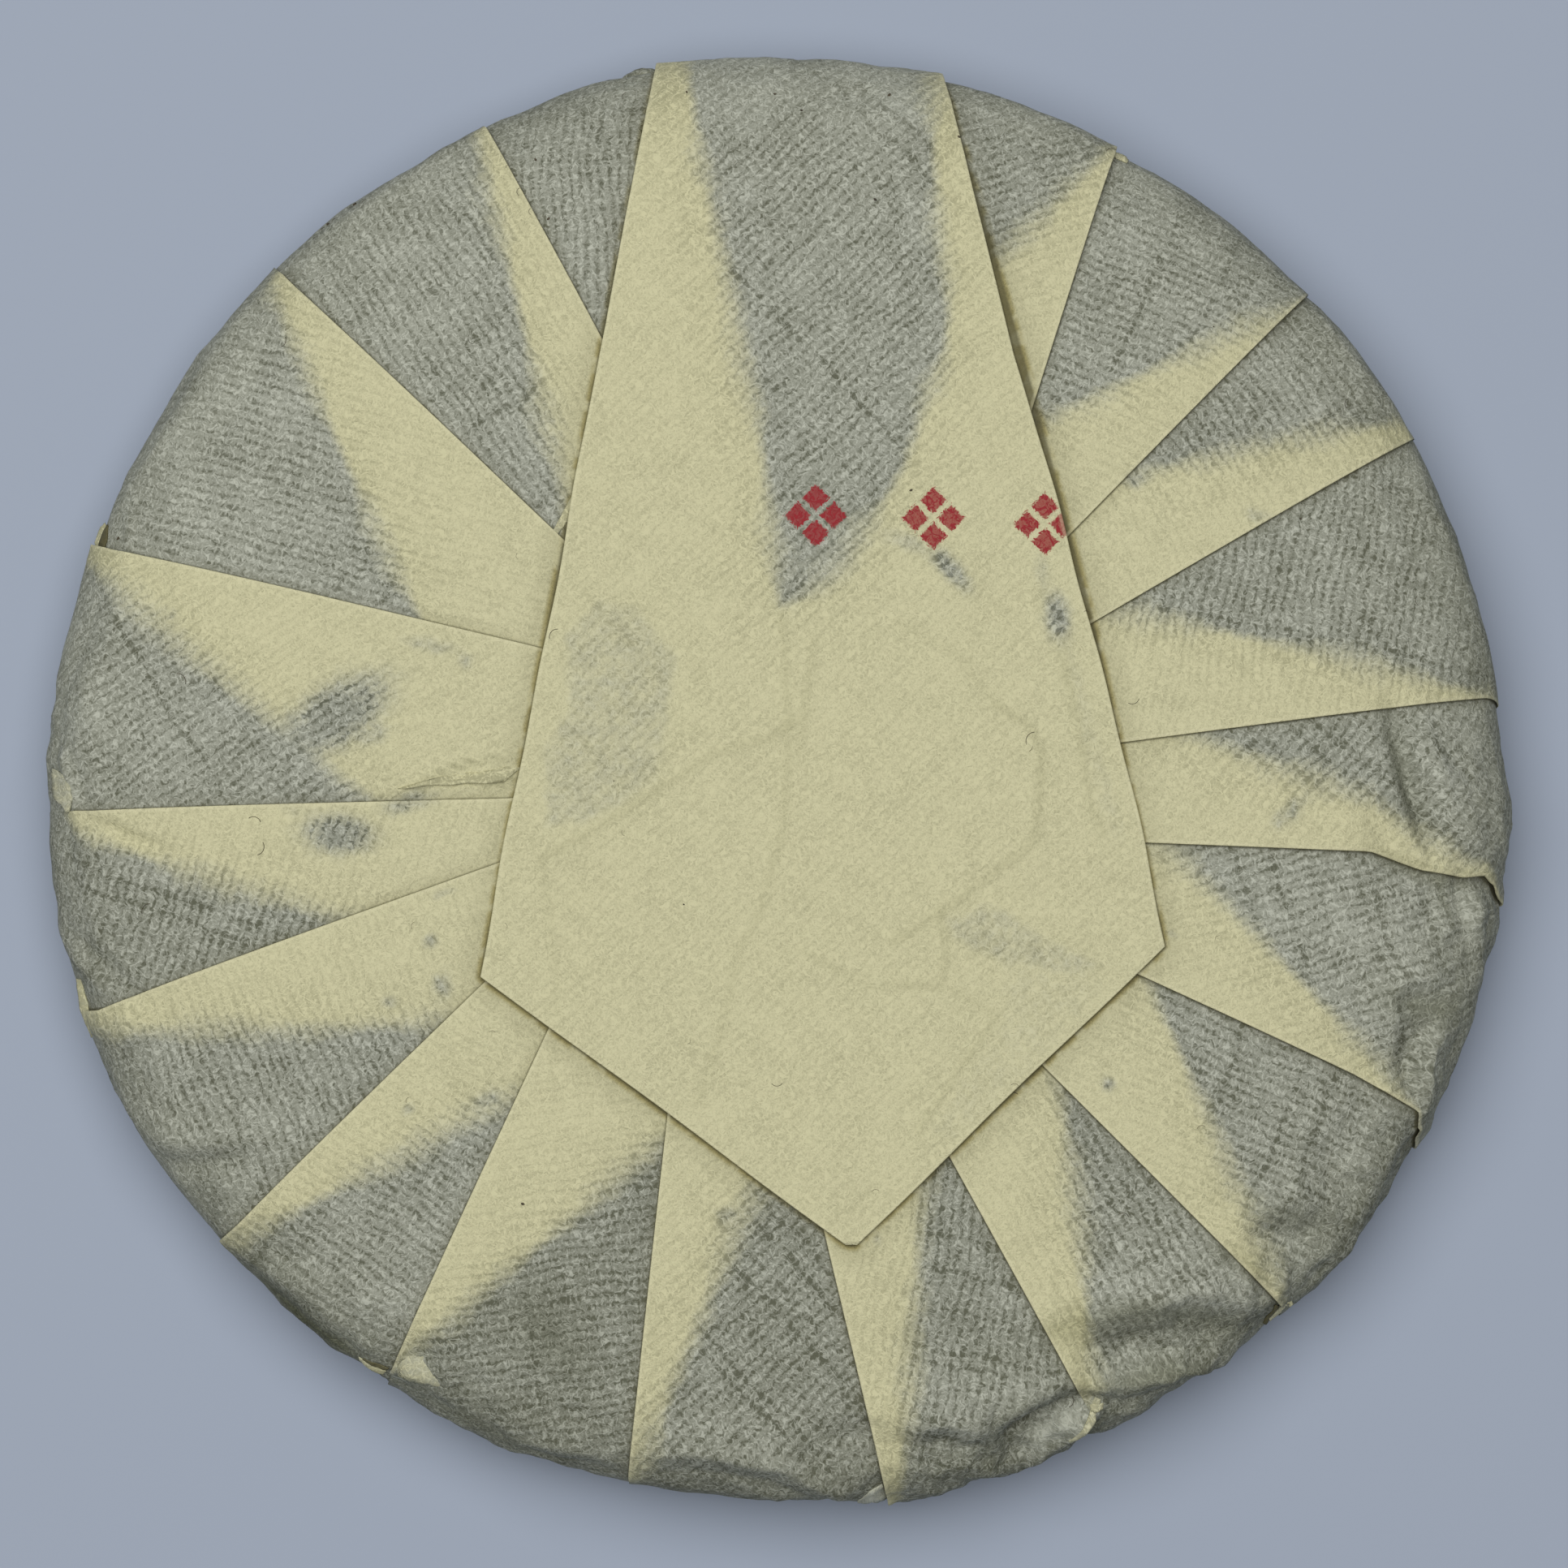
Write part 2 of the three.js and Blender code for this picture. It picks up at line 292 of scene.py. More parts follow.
# The wrapper, pleated over the cake's back. One row for each pleat:
# - rim, miss: the angle where its fold crosses the rim, and how far its line passes from the middle
# - lift, ear: the lift of the folded edge, and how far its ear stands out at the rim
# - turns: the fold's turn near the rim, as distances in from the widest line and degrees
# - ribs: the direction of the paper's ribs
# - doubled, growth: the doubled paper beside the fold, its width at the rim and growth inwards
# - tea, end: how darkly the tea shows through the rest, and how far in the folded edge ends
# - the last column: painted shade, how much darker the strip is drawn on the wall
Pleat = collections.namedtuple("Pleat", "rim miss lift ear turns ribs doubled growth tea end wallTea")
straight = [(0, 0)]
bentFold = [(0, -3.4), (2.4, -2.9), (4.9, -2.0), (7.4, -1.35), (10.4, -1.7), (16.5, -1.4), (19.5, -0.9),
            (24, 0)]
pleats = [Pleat(*row) for row in (
    (88.6, 0, 0.2, 0, straight, 92, 0, 0, 0.3, 0, 0.15),
    (114.2, 6.8, 0.8, 0.3, straight, 123, 1.1, 0.26, 0.27, 4, 0.16),
    (134.8, 2.7, 0.8, 0.3, [(0, -0.3), (10, 0)], 163, 0.8, 0.45, 0.25, 5.5, 0.18),
    (161.6, 8.7, 0.8, 0.7, [(0, -0.3), (8, 0)], 213, 2.1, 0.52, 0.3, 1, 0.11),
    (183.2, -3.1, 0.8, 0, [(0, -0.4), (12, 0)], 251, 1.1, 0.39, 0.37, 8.5, 0.11),
    (199.4, 0.7, 0.8, 0.3, [(2, -0.6), (7, 0)], 292, 2, 0.37, 0.33, 2.5, 0.12),
    (220.3, 6.7, 0.7, 0.3, [(0, -0.4), (8, 0)], 326, 0.9, 0.31, 0.31, 2, 0.24),
    (237.5, 13.1, 0.8, 0.3, straight, 369, -1.5, 0.48, 0.47, 5, 0.06),
    (258.3, 9.5, 0.8, 0.2, straight, 404, 0.5, 0.29, 0.41, 3, 0.16),
    (278.8, 8.2, 0.9, 0.8, straight, 438, 1.4, 0.32, 0.41, -3, 0.17),
    (296.2, 4.7, 0.9, 0, straight, 481, -0.4, 0.42, 0.37, 11, 0.15),
    (313.5, 2.9, 0.8, 0.3, [(0, -0.5), (6, 0)], 516, -0.3, 0.43, 0.32, 5.5, 0.2),
    (332.7, 4.7, 1, 0, [(0, -2.9), (4.9, -1.5), (7, -0.4), (17, 0)], 558, -1.5, 0.41, 0.27, -1, 0.19),
    (353.3, 7.9, 1, 0, bentFold, 588, 0.2, 0.34, 0.32, -1, 0.08),
    (366.2, 2.5, 0.8, 0, [(-2, -0.8), (0, -0.6), (6, 0)], 619, -0.8, 0.39, 0.34, -1, 0.15),
    (387.9, 4.5, 0.8, 0.2, straight, 662, 2, 0.35, 0.32, 4, 0.17),
    (402.2, 6.2, 0.8, 0.3, straight, 694, -1.5, 0.38, 0.28, 4, 0.16),
    (421.7, 18.3, 0.9, 0.6, straight, 741, -0.3, 0.48, 0.32, 3, 0.15),
)]

wrapper = {
    "hiddenRadius": 36.0,  # inside this the folds lie under the flap and run to the middle
    "earSpread": 3.5,  # degrees
    "pressedBack": (0.5, 0.85, 0.65),  # shares of the radius, and the lift left inside them
    "pressedWall": (0.0, 10.0, 0.55),  # distances in from the widest line, and the lift left there
    "ended": 0.14,  # share of the lift that is left where a folded edge has ended
    "foldThickness": 0.26,
    "pocket": 1.5,  # depth of the gap under a folded edge
    "puff": 0.32,  # how much a pleat bulges between two folds
    "density": ((150, 255, 262, 352, 368), (1.6, 2.2, 3.4, 3.4, 1.6)),  # rim angles, columns a degree
    # painted shade: how much darker the wall is drawn on its crumpled side
    "crumpledWallShade": 0.14,  # how much darker the wall looks on its crumpled side
    # painted shade in a crease's valleys and painted light on its ridges
    "creasePaintedShade": 0.05,  # for each mm of a crease
    "wallShadeEnd": (4.0, 16.0),  # distances in from the widest line
    "wallClear": 0.55,  # how much the weave fades on the wall
    "endBlend": 1.5,  # how far a folded edge takes to end, before and after
    "endGrey": 1.2,  # how fast the doubled paper narrows past that end
    "footGrey": 25,  # and under the foot, where one layer lies alone
    "narrowest": 30,  # radius inside which a strip's widths shrink no more
    "seamWidth": 3,  # beside its own fold a strip takes that fold's seam
}

# Creases and bulges of the crumpled rim: height (a valley's is negative), width of the slope on
# the left and on the right of the line, and the line, as angles and distances in from the widest
# line. With the angle growing, the left is towards the cake's middle.
rimCreases = [
    (3, 9, 3, [(280, 15.5), (284.4, 14.9), (287, 13), (288.4, 12)]),
    (2.8, 8, 2.6, [(288.2, 12), (291.7, 13.9), (295.1, 13.5), (296.5, 11.6)]),
    (-2, 2.4, 3.4, [(288.5, 3.5), (289.6, 8.8), (291.8, 10), (294.5, 10.8), (296.3, 10.4)]),
    (1, 3.4, 1.6, [(292.6, 4.4), (294.9, 6.4), (297, 8.5)]),
    (2.6, 5, 2.6, [(296.4, 12.6), (300.1, 9.2), (302.1, 8.5), (304.1, 7.4), (306.6, 3)]),
    (-2.2, 3.6, 3, [(297.6, 14), (300.9, 12.6), (304.6, 9.8), (307.6, 6)]),
    (3.6, 10, 4, [(298.6, 19.8), (302.4, 18.8), (304.7, 17.7), (308.4, 16), (310.2, 12.5), (312.3, 7.6)]),
    (1, 4.5, 2.6, [(249.4, 5.5), (252.9, 7.1), (255.3, 7.4), (257.9, 6.1)]),
    (2.4, 7, 3, [(259.2, 9.2), (262.8, 11.2), (266.2, 11.2), (270.3, 10), (273.5, 7.1), (276.4, 2.9)]),
    (1.4, 4, 2.6, [(337.2, 14.4), (339.8, 17.1), (341.5, 15.5), (343.4, 10.4)]),
    (-2.8, 4.4, 2.2, [(366, 20.6), (363.2, 20.2), (360.6, 19.4), (358.6, 18.7), (356.2, 17.4),
                      (353.6, 16.2)]),
    (1.4, 3.6, 4, [(365.5, 18.4), (361.5, 17.4), (357.5, 13.4), (354.5, 11.5)]),
    (1.1, 4, 3, [(351.4, 23.8), (354.5, 26.5), (358, 27.2)]),
    (1, 3, 4.2, [(314.2, 19.2), (317.4, 17.7), (319.2, 17.7), (320.4, 14.9), (320.2, 11.2)]),
    (-0.8, 2.4, 2.4, [(314.6, 15.5), (316.9, 14.4), (317.8, 11.2)]),
    (1, 2.8, 5.5, [(331.4, 6.1), (325.8, 6.9), (322.1, 6), (317.6, 3.4)]),
    (-0.8, 2, 1.8, [(351.2, 11.4), (348.2, 9), (345.4, 5.6)]),
    (0.7, 2, 2.6, [(350.8, 8.4), (347.5, 6.3), (345, 3.8)]),
    (0.9, 4, 3, [(208.8, 3.5), (212, 9.5), (214, 14), (215.7, 19)]),
    (-0.8, 2.2, 2.6, [(212.3, 3.2), (214.3, 9.6), (216.3, 16.9)]),
    (0.8, 5.5, 3.4, [(221, 4.3), (225.1, 7.1), (229.3, 7.8), (233.6, 7.8), (236.6, 6.2)]),
    (0.6, 3.4, 2.6, [(229, 13.5), (232.6, 13.5), (235.7, 16.9)]),
    (0.6, 2.4, 2.4, [(237.2, 13.9), (240, 15.4), (242.4, 8.3)]),
    (0.5, 1.6, 1.4, [(157.7, 6.9), (160.9, 9.8)]),
    (0.7, 5, 3.6, [(164.6, 11.2), (169.6, 12), (173.1, 10), (178.4, 8.8)]),
    (-0.9, 2.2, 2.4, [(192.8, 4.3), (196, 9.5), (199.3, 13.3)]),
    (0.8, 2.2, 2.6, [(192.4, 1.3), (195, 5.5), (198.2, 8.7)]),
    (-1.2, 1.2, 3.2, [(184.2, 12.6), (185.6, 16.5), (187.3, 21.4)]),
    (0.5, 2.6, 2.6, [(188.6, 11.6), (189.6, 17), (189.8, 21.5)]),
    (0.7, 1.6, 1, [(184, 54), (181.4, 58.8), (178.8, 62.5), (176.5, 69.9)]),
    (0.5, 1.4, 1.4, [(185.2, 59.3), (182.6, 65.6), (181.1, 71)]),
    (-0.4, 1, 1.4, [(183.6, 57.6), (180.8, 62.6), (178.4, 69.2)]),
    (0.3, 1.2, 1.2, [(181.8, 66), (177, 69.2)]),
    (0.3, 1.4, 1.4, [(129.1, 47.3), (126.8, 56.9)]),
    (0.9, 5, 4, [(56.5, 4.6), (62, 6.5), (66, 6), (73, 4.6)]),
    (0.8, 5, 3.6, [(7.5, 4.5), (17, 6), (22, 6.5), (27.6, 4.6)]),
    (0.8, 5, 3.6, [(30, 5), (34, 6), (38, 6.5), (41.6, 4.6)]),
    (0.6, 5, 4, [(116, 5), (120, 6.6), (126, 7), (131, 5)]),
    (0.7, 5, 4.4, [(137, 5.4), (143, 8), (149, 8.5), (157, 5)]),
    (-0.5, 3, 3, [(139, 14), (146, 14.6), (152, 15.5), (158, 18.5)]),
    (1.7, 1.4, 3.4, [(331.8, 5.4), (333.6, 7), (335.4, 8.3), (337.2, 8.8), (338.8, 7.2)]),
    (-1.2, 3, 1.2, [(333, 9.2), (335, 10.8), (337, 11.2), (339.4, 9.8)]),
    (1.2, 1.6, 1.6, [(183.4, 8.6), (181.6, 8.6), (180.3, 7.8), (178.4, 6.6)]),
    (1.1, 4.4, 1.2, [(293, 4.2), (295, 6.1), (296.7, 7.9), (297.8, 9.2)]),
    (0.9, 3, 1.6, [(312, 7.4), (314.4, 8.4), (316.4, 9.6)]),
]


# Painted shade where the crumpled paper is drawn darker than its slope makes it, with a blurred
# weave, and painted light where it is drawn lighter (below 0): depth, then widths and line as for a crease
rimPaintedShades = [
    (0.55, 2.6, 4.6, [(294, 20.6), (298.5, 20), (302, 19), (304.8, 17), (307.2, 13.5), (309.3, 8.6),
                      (311.4, 4)]),
    (0.55, 1.6, 3.4, [(296.6, 11.4), (300.7, 9.6), (303.5, 8.3), (305.7, 4.8), (307, 0.5)]),
    (0.32, 1.8, 2.6, [(297.4, 11.4), (293.6, 12.9), (290.7, 13.2), (288.6, 12), (287.4, 8.6), (287.6, 3.2)]),
    (0.45, 2.6, 0.8, [(297.6, 8), (295.8, 5), (294.1, 0.6)]),
    (-0.55, 3.4, 3, [(289.4, 3.6), (291.8, 6.4), (293.6, 8), (296, 9)]),
    (0.5, 3.2, 3.4, [(339.4, 18.4), (339.7, 13.6), (340.4, 9.4), (340.8, 5)]),
    (0.5, 1.8, 1.8, [(352.4, 25), (351.3, 19.5), (350.8, 14.4), (350.9, 8.4)]),
    (0.5, 3, 1.6, [(366.4, 22.4), (363.2, 21.4), (360.6, 20.5), (358.6, 19.8), (356.2, 18.5), (353.4, 17.2)]),
    (0.35, 3.5, 3.5, [(316.4, 21), (318, 17), (319.4, 12.5), (320.6, 8)]),
    (0.35, 2.4, 2.4, [(311.6, 19.4), (313.4, 15.4), (314, 10)]),
    (-0.15, 5, 5, [(343.5, 26), (346, 20)]),
    (-0.3, 1.8, 1.8, [(350.4, 10.4), (348.4, 8.4), (346.2, 5.8)]),
    (0.5, 0.7, 0.7, [(350.8, 13.8), (348.8, 12), (347.6, 10.4)]),
    (0.45, 0.8, 1.2, [(184.6, 53), (181.4, 58.8), (178.8, 62.5), (176.5, 69.9)]),
    (0.5, 1.3, 1.3, [(183.4, 64.6), (182.2, 68), (181.6, 69.8)]),
    (0.9, 3.8, 5, [(222.5, 3.2), (229, 3.4), (236, 3.6)]),
    (0.35, 2.2, 3, [(239.6, 4.2), (245, 4.4), (252.5, 3.4)]),
    (0.4, 7, 7, [(242.5, 25), (247, 22), (253, 18)]),
]


def turnFrom(middle, angle):
    return np.mod(angle - middle + 180, 360) - 180


# How far along a segment each point's nearest place lies, as a share, and how far away that is
def nearSegment(x, y, start, end):
    (x1, y1), (x2, y2) = start, end
    length = (x2 - x1) ** 2 + (y2 - y1) ** 2
    t = np.clip(((x - x1) * (x2 - x1) + (y - y1) * (y2 - y1)) / length, 0, 1)
    return t, np.hypot(x - x1 - t * (x2 - x1), y - y1 - t * (y2 - y1))


# Height of all creases at points given by angle and distance in from the widest line
def creaseHeight(angle, inset, creases):
    degree = math.radians(1) * cake["radius"] * 0.96  # its length along the shoulder
    total = np.zeros_like(angle)
    for height, left, right, line in creases:
        middle = np.mean(line, axis=0)[0]
        x = turnFrom(middle, angle) * degree
        knots = [((at - middle) * degree, depth) for at, depth in line]
        lengths = [math.dist(start, end) for start, end in zip(knots, knots[1:])]
        walked = 0.0
        best, where, width = np.full_like(angle, 1e9), np.zeros_like(angle), np.ones_like(angle)
        for start, end, length in zip(knots, knots[1:], lengths):
            t, away = nearSegment(x, inset, start, end)
            onLeft = (end[0] - start[0]) * (inset - start[1]) > (end[1] - start[1]) * (x - start[0])
            closer = away < best
            best = np.where(closer, away, best)
            where = np.where(closer, (walked + t * length) / sum(lengths), where)
            width = np.where(closer, np.where(onLeft, left, right), width)
            walked += length
        ends = np.sin(math.pi * np.clip(where, 0.02, 0.98)) ** 0.5
        total += height * ends * np.maximum(0, 1 - best / width)
    return total


# Small places where the dark tea shows through doubled paper: x, y, length, width, turn, depth
blotches = [
    (-60.4, 7, 9.4, 4.3, 34, 1.1), (-59.4, -8.8, 5.4, 3, -5, 1), (-49.8, -4.4, 4.4, 1.6, 18, 0.7),
    (-65.5, -5.6, 2.6, 1.6, -20, 0.3), (-46.9, -23.4, 1.1, 1.1, 0, 0.7),
    (-45.2, -29.4, 1.5, 2.2, 0, 0.7), (-52.3, -31.6, 1.3, 1.1, 0, 0.6), (-47, 16.9, 4, 1.3, -10, 0.5),
    (-39.1, -44.8, 2.2, 1.1, 10, 0.7), (-49.5, -45.9, 0.9, 0.8, 0, 0.6), (-6.7, -60.7, 1.8, 1.5, 0, 0.7),
    (69.9, -5.7, 3.7, 1.3, 48, 0.7), (49.1, 39.7, 1.8, 1.3, 0, 0.8), (65.7, 34.7, 2, 1.1, -20, 0.6),
    (44.9, -42.6, 1.1, 1.1, 0, 0.7), (-54.7, 4.8, 3.3, 1.5, 30, 0.6), (-42.1, 14.7, 1.5, 0.9, 50, 0.5),
    (-33.2, 7, 1.1, 0.9, 0, 0.4), (-44.9, -16.8, 1.3, 0.8, 20, 0.6), (-82.4, 21.4, 0.9, 0.8, 0, 0.5),
    (53.3, -22.3, 0.9, 0.7, 0, 0.5), (13.6, -63.1, 0.8, 0.7, 0, 0.6),
]


def blotchDepth(x, y, spots):
    depth = np.zeros_like(x)
    for spotX, spotY, length, width, turn, strength in spots:
        along, across = direction(turn), direction(turn + 90)
        u = ((x - spotX) * along[0] + (y - spotY) * along[1]) / length
        v = ((x - spotX) * across[0] + (y - spotY) * across[1]) / width
        depth = np.maximum(depth, strength * np.exp(-((u * u + v * v) ** 1.2)))
    return depth


# Finer crumpling of the rim
crumpled = {
    "least": 0.22,
    "back": 0.06,  # share of it that is left on the flat back
    "rimFrom": (0.8, 0.95),  # shares of the radius
    # where on the rim, how far round, how strong
    "places": [(292, 40, 1.0), (325, 30, 0.9), (350, 20, 0.9),
               (240, 36, 0.6), (200, 24, 0.5), (178, 12, 0.6)],
    "side": (300, 74, 100),  # its middle, and how far round it fades out
}


def crumpleDepth(angle, share, fold):
    depth = np.full_like(angle, crumpled["least"])
    for middle, spread, strength in crumpled["places"]:
        away = np.abs(turnFrom(middle, angle))
        depth = np.maximum(depth, strength * (1 - smooth(0, spread, away)))
    back = crumpled["back"]
    return depth * fold * (back + (1 - back) * smooth(*crumpled["rimFrom"], share))


# 1 on the crumpled side of the rim, 0 on its calm side
def crumpledSide(angle):
    middle, near, far = crumpled["side"]
    return 1 - smooth(near, far, np.abs(turnFrom(middle, angle)))


# How far a fold has turned from its angle at the rim
def foldSlant(pleat, radius):
    return np.degrees(np.arcsin(np.clip(pleat.miss / radius, -1, 1)) - math.asin(pleat.miss / cake["radius"]))


# Angle of a fold at every ring
def foldAngle(pleat):
    slant = foldSlant(pleat, np.maximum(wrapper["hiddenRadius"], profile["radius"]))
    turned = np.interp(profile["inset"], *np.transpose(pleat.turns))
    return pleat.rim + np.where(profile["top"], turned - slant, turned)


# How much of the folded edge is there at every ring
def foldSeam(pleat):
    ended, blend = wrapper["ended"], wrapper["endBlend"]
    return ended + (1 - ended) * smooth(pleat.end - blend, pleat.end + blend, profile["inset"])


def foldLift(pleat):
    innerFrom, innerTo, inner = wrapper["pressedBack"]
    wallFrom, wallTo, wall = wrapper["pressedWall"]
    pressed = inner + (1 - inner) * smooth(innerFrom, innerTo, profile["share"])
    pressed *= wall + (1 - wall) * smooth(wallFrom, wallTo, profile["inset"])
    return pleat.lift * profile["fold"] * pressed * foldSeam(pleat)


# One strip of the wrapper for each pleat: in from under its own fold, over the folded edge,
# across the pleat, and on under the next fold. Each entry is (angle, offset) over all rings.
def pleatStrip(pleat, nextPleat):
    fold = profile["fold"]
    radius = np.maximum(wrapper["narrowest"], profile["radius"])
    own, other = foldAngle(pleat), foldAngle(nextPleat)
    edge = foldLift(pleat)
    thick = np.minimum(wrapper["foldThickness"], 0.4 * edge)
    depth = np.degrees(wrapper["pocket"] * fold / radius)
    pocket, under = depth * foldSeam(pleat), depth * foldSeam(nextPleat)
    roll = np.degrees(thick / 2 / radius)
    ear = pleat.ear * profile["ear"]
    # turns of the folded edge, as shares of the pocket, the roll and the thickness
    turns = ((1, 0, 1), (0.5, 0, 1), (0, 0, 1), (0, 0.7, 0.85), (0, 1, 0.5), (0, 0.7, 0.15))
    columns = [(own + a * pocket - b * roll, edge - c * thick + ear) for a, b, c in turns]
    width = nextPleat.rim - pleat.rim
    for t in np.linspace(0, 1, round(width * np.interp(pleat.rim, *wrapper["density"])) + 1) ** 1.2:
        angle = own + (other - own) * t
        fade = np.exp((own - angle) / wrapper["earSpread"])
        puff = wrapper["puff"] * math.sin(math.pi * t) * fold
        columns.append((angle, (1 - t) * (edge + ear * fade) + puff))
    return columns + [(other + under / 2, 0 * fold), (other + under, 0 * fold)]


def joined(rows):  # each list of arrays as one array
    return {key: np.concatenate(values) for key, values in rows.items()}


def buildWrapper():
    rows = collections.defaultdict(list)
    fold, inset = profile["fold"], profile["inset"]
    radius = np.maximum(wrapper["narrowest"], profile["radius"])
    inward = np.where(profile["top"], cake["radius"] - profile["radius"], 0)
    single = wrapper["footGrey"] * (1 - fold)
    wall = 1 - smooth(*wrapper["wallShadeEnd"], inset)
    for pleat, nextPleat in zip(pleats, pleats[1:] + [pleats[0]._replace(rim=pleats[0].rim + 360)]):
        middle = (pleat.ribs + weaveTurn) / 2
        own, other = foldAngle(pleat), foldAngle(nextPleat)
        doubled = pleat.doubled + pleat.growth * inward
        ended = wrapper["endGrey"] * np.maximum(0, pleat.end - inset)
        for angle, offset in pleatStrip(pleat, nextPleat):
            creases = fold * creaseHeight(angle, inset, rimCreases)
            # painted shade and painted light of the crumpled rim
            painted = fold * creaseHeight(angle, inset, rimPaintedShades)
            paintedShade = np.clip(painted, 0, 1)
            edge = np.radians(angle - own) * radius
            # painted shade on the wall, and painted light where the rim's painted shading is below 0, join
            # the tea
            tea = pleat.tea + pleat.wallTea * wall + np.minimum(painted, 0)
            place, facing = onCake(angle, *(profile[key] for key in surface), offset + creases)
            column = {
                "points": place,
                "sheet": sheetPlace(angle, middle, profile["run"], profile["radius"], profile["side"]),
                "outward": facing,
                "tuck": doubled - edge - single - ended,
                "edge": edge,
                "foot": np.radians(other - angle) * radius,
                "crumple": crumpleDepth(angle, profile["share"], fold),
                # painted shade in crease valleys and painted light on crease ridges
                "shade": tea - wrapper["creasePaintedShade"] * creases,
                "seam": np.where(edge < wrapper["seamWidth"], foldSeam(pleat), foldSeam(nextPleat)),
                "clear": (1 - wrapper["wallClear"] * wall) * (1 - paintedShade),
                # painted shade, with more of it on the crumpled side of the wall
                "paintedShade": paintedShade + wrapper["crumpledWallShade"] * wall * crumpledSide(angle),
            }
            for key, values in column.items():
                rows[key].append(values)
    columnCount, ringCount = len(rows["points"]), len(inset)
    numbers = joined(rows)
    points, sheet = numbers.pop("points"), numbers.pop("sheet")
    x, y = points[:, 0], points[:, 1]
    upper = points[:, 2] > cake["widest"]
    numbers["blot"] = np.where(upper, blotchDepth(x, y, blotches), 0)
    numbers["gap"] = np.where(upper, polygonDistance(x, y, flapOutline()), farAway)
    faces = []
    for c in range(columnCount):
        a, b = c * ringCount, (c + 1) % columnCount * ringCount
        faces += [(a + r, b + r, b + r + 1, a + r + 1) for r in range(ringCount - 1)]
    return paperMesh("wrapper_draft", points, faces, sheet, numbers)


# The closing flap: the sheet's last corner, brought over the rim and laid on all the pleats

flap = {
    "leftRim": 99.4,
    "rightRim": 76.8,
    "ribs": 43,
    "shade": 0.29,
    "leftCorner": (-39.9, -28.2),
    "rightCorner": (52.6, -24.1),
    "rightSide": [(43.1, 19.6), (35.4, 49.6)],
    "tip": (10.2, -64.4),
    "tipWidth": 1.0,
    "rightBow": 1.1,
    "waver": ((0.16, 9.1, 0.7), (0.12, 23.0, 2.0)),  # of its sides: depth, rate and start
    "top": 1.46,  # of its upper face over the cake's back
    "thickness": 0.42,
    "archedTo": 0.65,  # share of the radius; inside it the flap is drawn in straight rows
    "across": 130,
    "rowsToCorners": 140,
    "rowsToTip": 60,
    "roll": 4,  # steps round a folded edge
    "start": 0.6,  # how suddenly it rises where it comes up the foot
    "band": 0.14,  # step over the paper that is folded under
    "bandEdge": 0.8,
    "wave": 0.22,  # how far it rises and falls with the pleats below
    "waveMiddle": 0.6,
    "waveEdge": 0.12,  # share of a pleat's width over which it rises
    "waveFrom": (20, 40),  # distances from the middle
    # darker along the faint lines: layer edges below showing through, and painted shade of their low ridges
    "lineShade": 0.8,  # for each mm of the faint lines' height
    "wallClear": 0.45,
}

# The part of the flap that is a single layer, between the sides that are folded under
flapWindow = [(-13, 104), (21.5, 104), (21.7, 85.3), (22.6, 71.9), (23.7, 63), (23.1, 57.4),
              (20.6, 50.7), (17.2, 40.7), (13.1, 34), (9.3, 28.5), (4.9, 24), (0.7, 22.4),
              (-0.7, 34), (-2.3, 46.3), (-5.7, 63), (-7.9, 73), (-10.4, 84.2)]

flapBlotches = [
    (23.7, 27.3, 4.2, 1.7, -48, 0.8), (18.2, 30.8, 4, 1.5, -20, 0.5), (38.3, 20.6, 3.8, 2, 97, 0.9),
    (36.2, 27, 3.4, 1.3, 105, 0.4), (1.8, 26, 2.6, 4.5, -10, 0.55), (7.6, 28.5, 3, 5, -40, 0.4),
]

# Edges of the layers under the flap that show as faint lines in it: height, width, x and y
flapLines = [
    (0.22, 1, [(-31.9, -12.2), (-24.9, -8.5), (-16, -2.8), (-8.1, 2.2), (-0.6, 4.4), (2.8, 6.7)]),
    (0.18, 0.9, [(0.8, 21), (1.7, 6.2), (1.1, -7.7), (-2.6, -20.6), (-5.1, -24.6), (-7.1, -34.5),
                 (-10.6, -45.4)]),
    (0.24, 1, [(30.1, 8.6), (34.6, 5.7), (36, 2.2), (35.8, -2.8), (35.1, -9.7), (30.1, -13.7),
                 (22.2, -19.6), (15.7, -23.6)]),
    (0.2, 0.9, [(22.2, -19.8), (23, -24.6), (22.7, -29.5), (17.7, -29.3)]),
    (0.16, 0.9, [(24.1, -30), (29.9, -33.5), (25.1, -40.4), (19.2, -49.3)]),
    (0.12, 0.9, [(-31.6, -12.7), (-30.2, -24.6), (-29.6, -33.5)]),
    (0.14, 0.9, [(3.3, -24.6), (12.3, -29.5), (17.7, -29.3)]),
    (0.16, 0.9, [(5.3, 18), (4.3, 11.1), (3.1, 2.2)]),
    (0.18, 0.9, [(38.5, 16.1), (40.3, 9.1), (42.6, -4.7), (44.2, -8.7)]),
    (0.12, 0.9, [(16.2, 20), (24.1, 16.1), (30.1, 8.6)]),
]

# Parts of the flap with fewer layers under them, a little greyer: depth and corners
flapShades = [
    (0.36, [(-29.4, 18), (-24.4, 23.2), (-18.5, 22.2), (-13, 15.1), (-14.5, 5.2), (-16, -2),
            (-25.4, -7.7), (-31.6, -8.3), (-32.2, 2.2), (-28.6, 8.1)]),
    (0.36, [(22.4, -20.2), (29.1, -17.8), (38, -23.4), (46.2, -26.7), (40, -28.5), (30.1, -26.3),
            (24.1, -23.8)]),
    (0.22, [(39, 16.1), (41.2, 16.6), (45, 2.2), (47.9, -9.7), (45, -10.7), (41.2, 2.2)]),
    (0.2, [(30.1, -25.6), (46, -28.5), (37, -38.4), (24.1, -51.3), (20.2, -49.3), (30.1, -33.5)]),
]
flapShadeBorder = (-1.5, 1.0)  # distances over which they fade


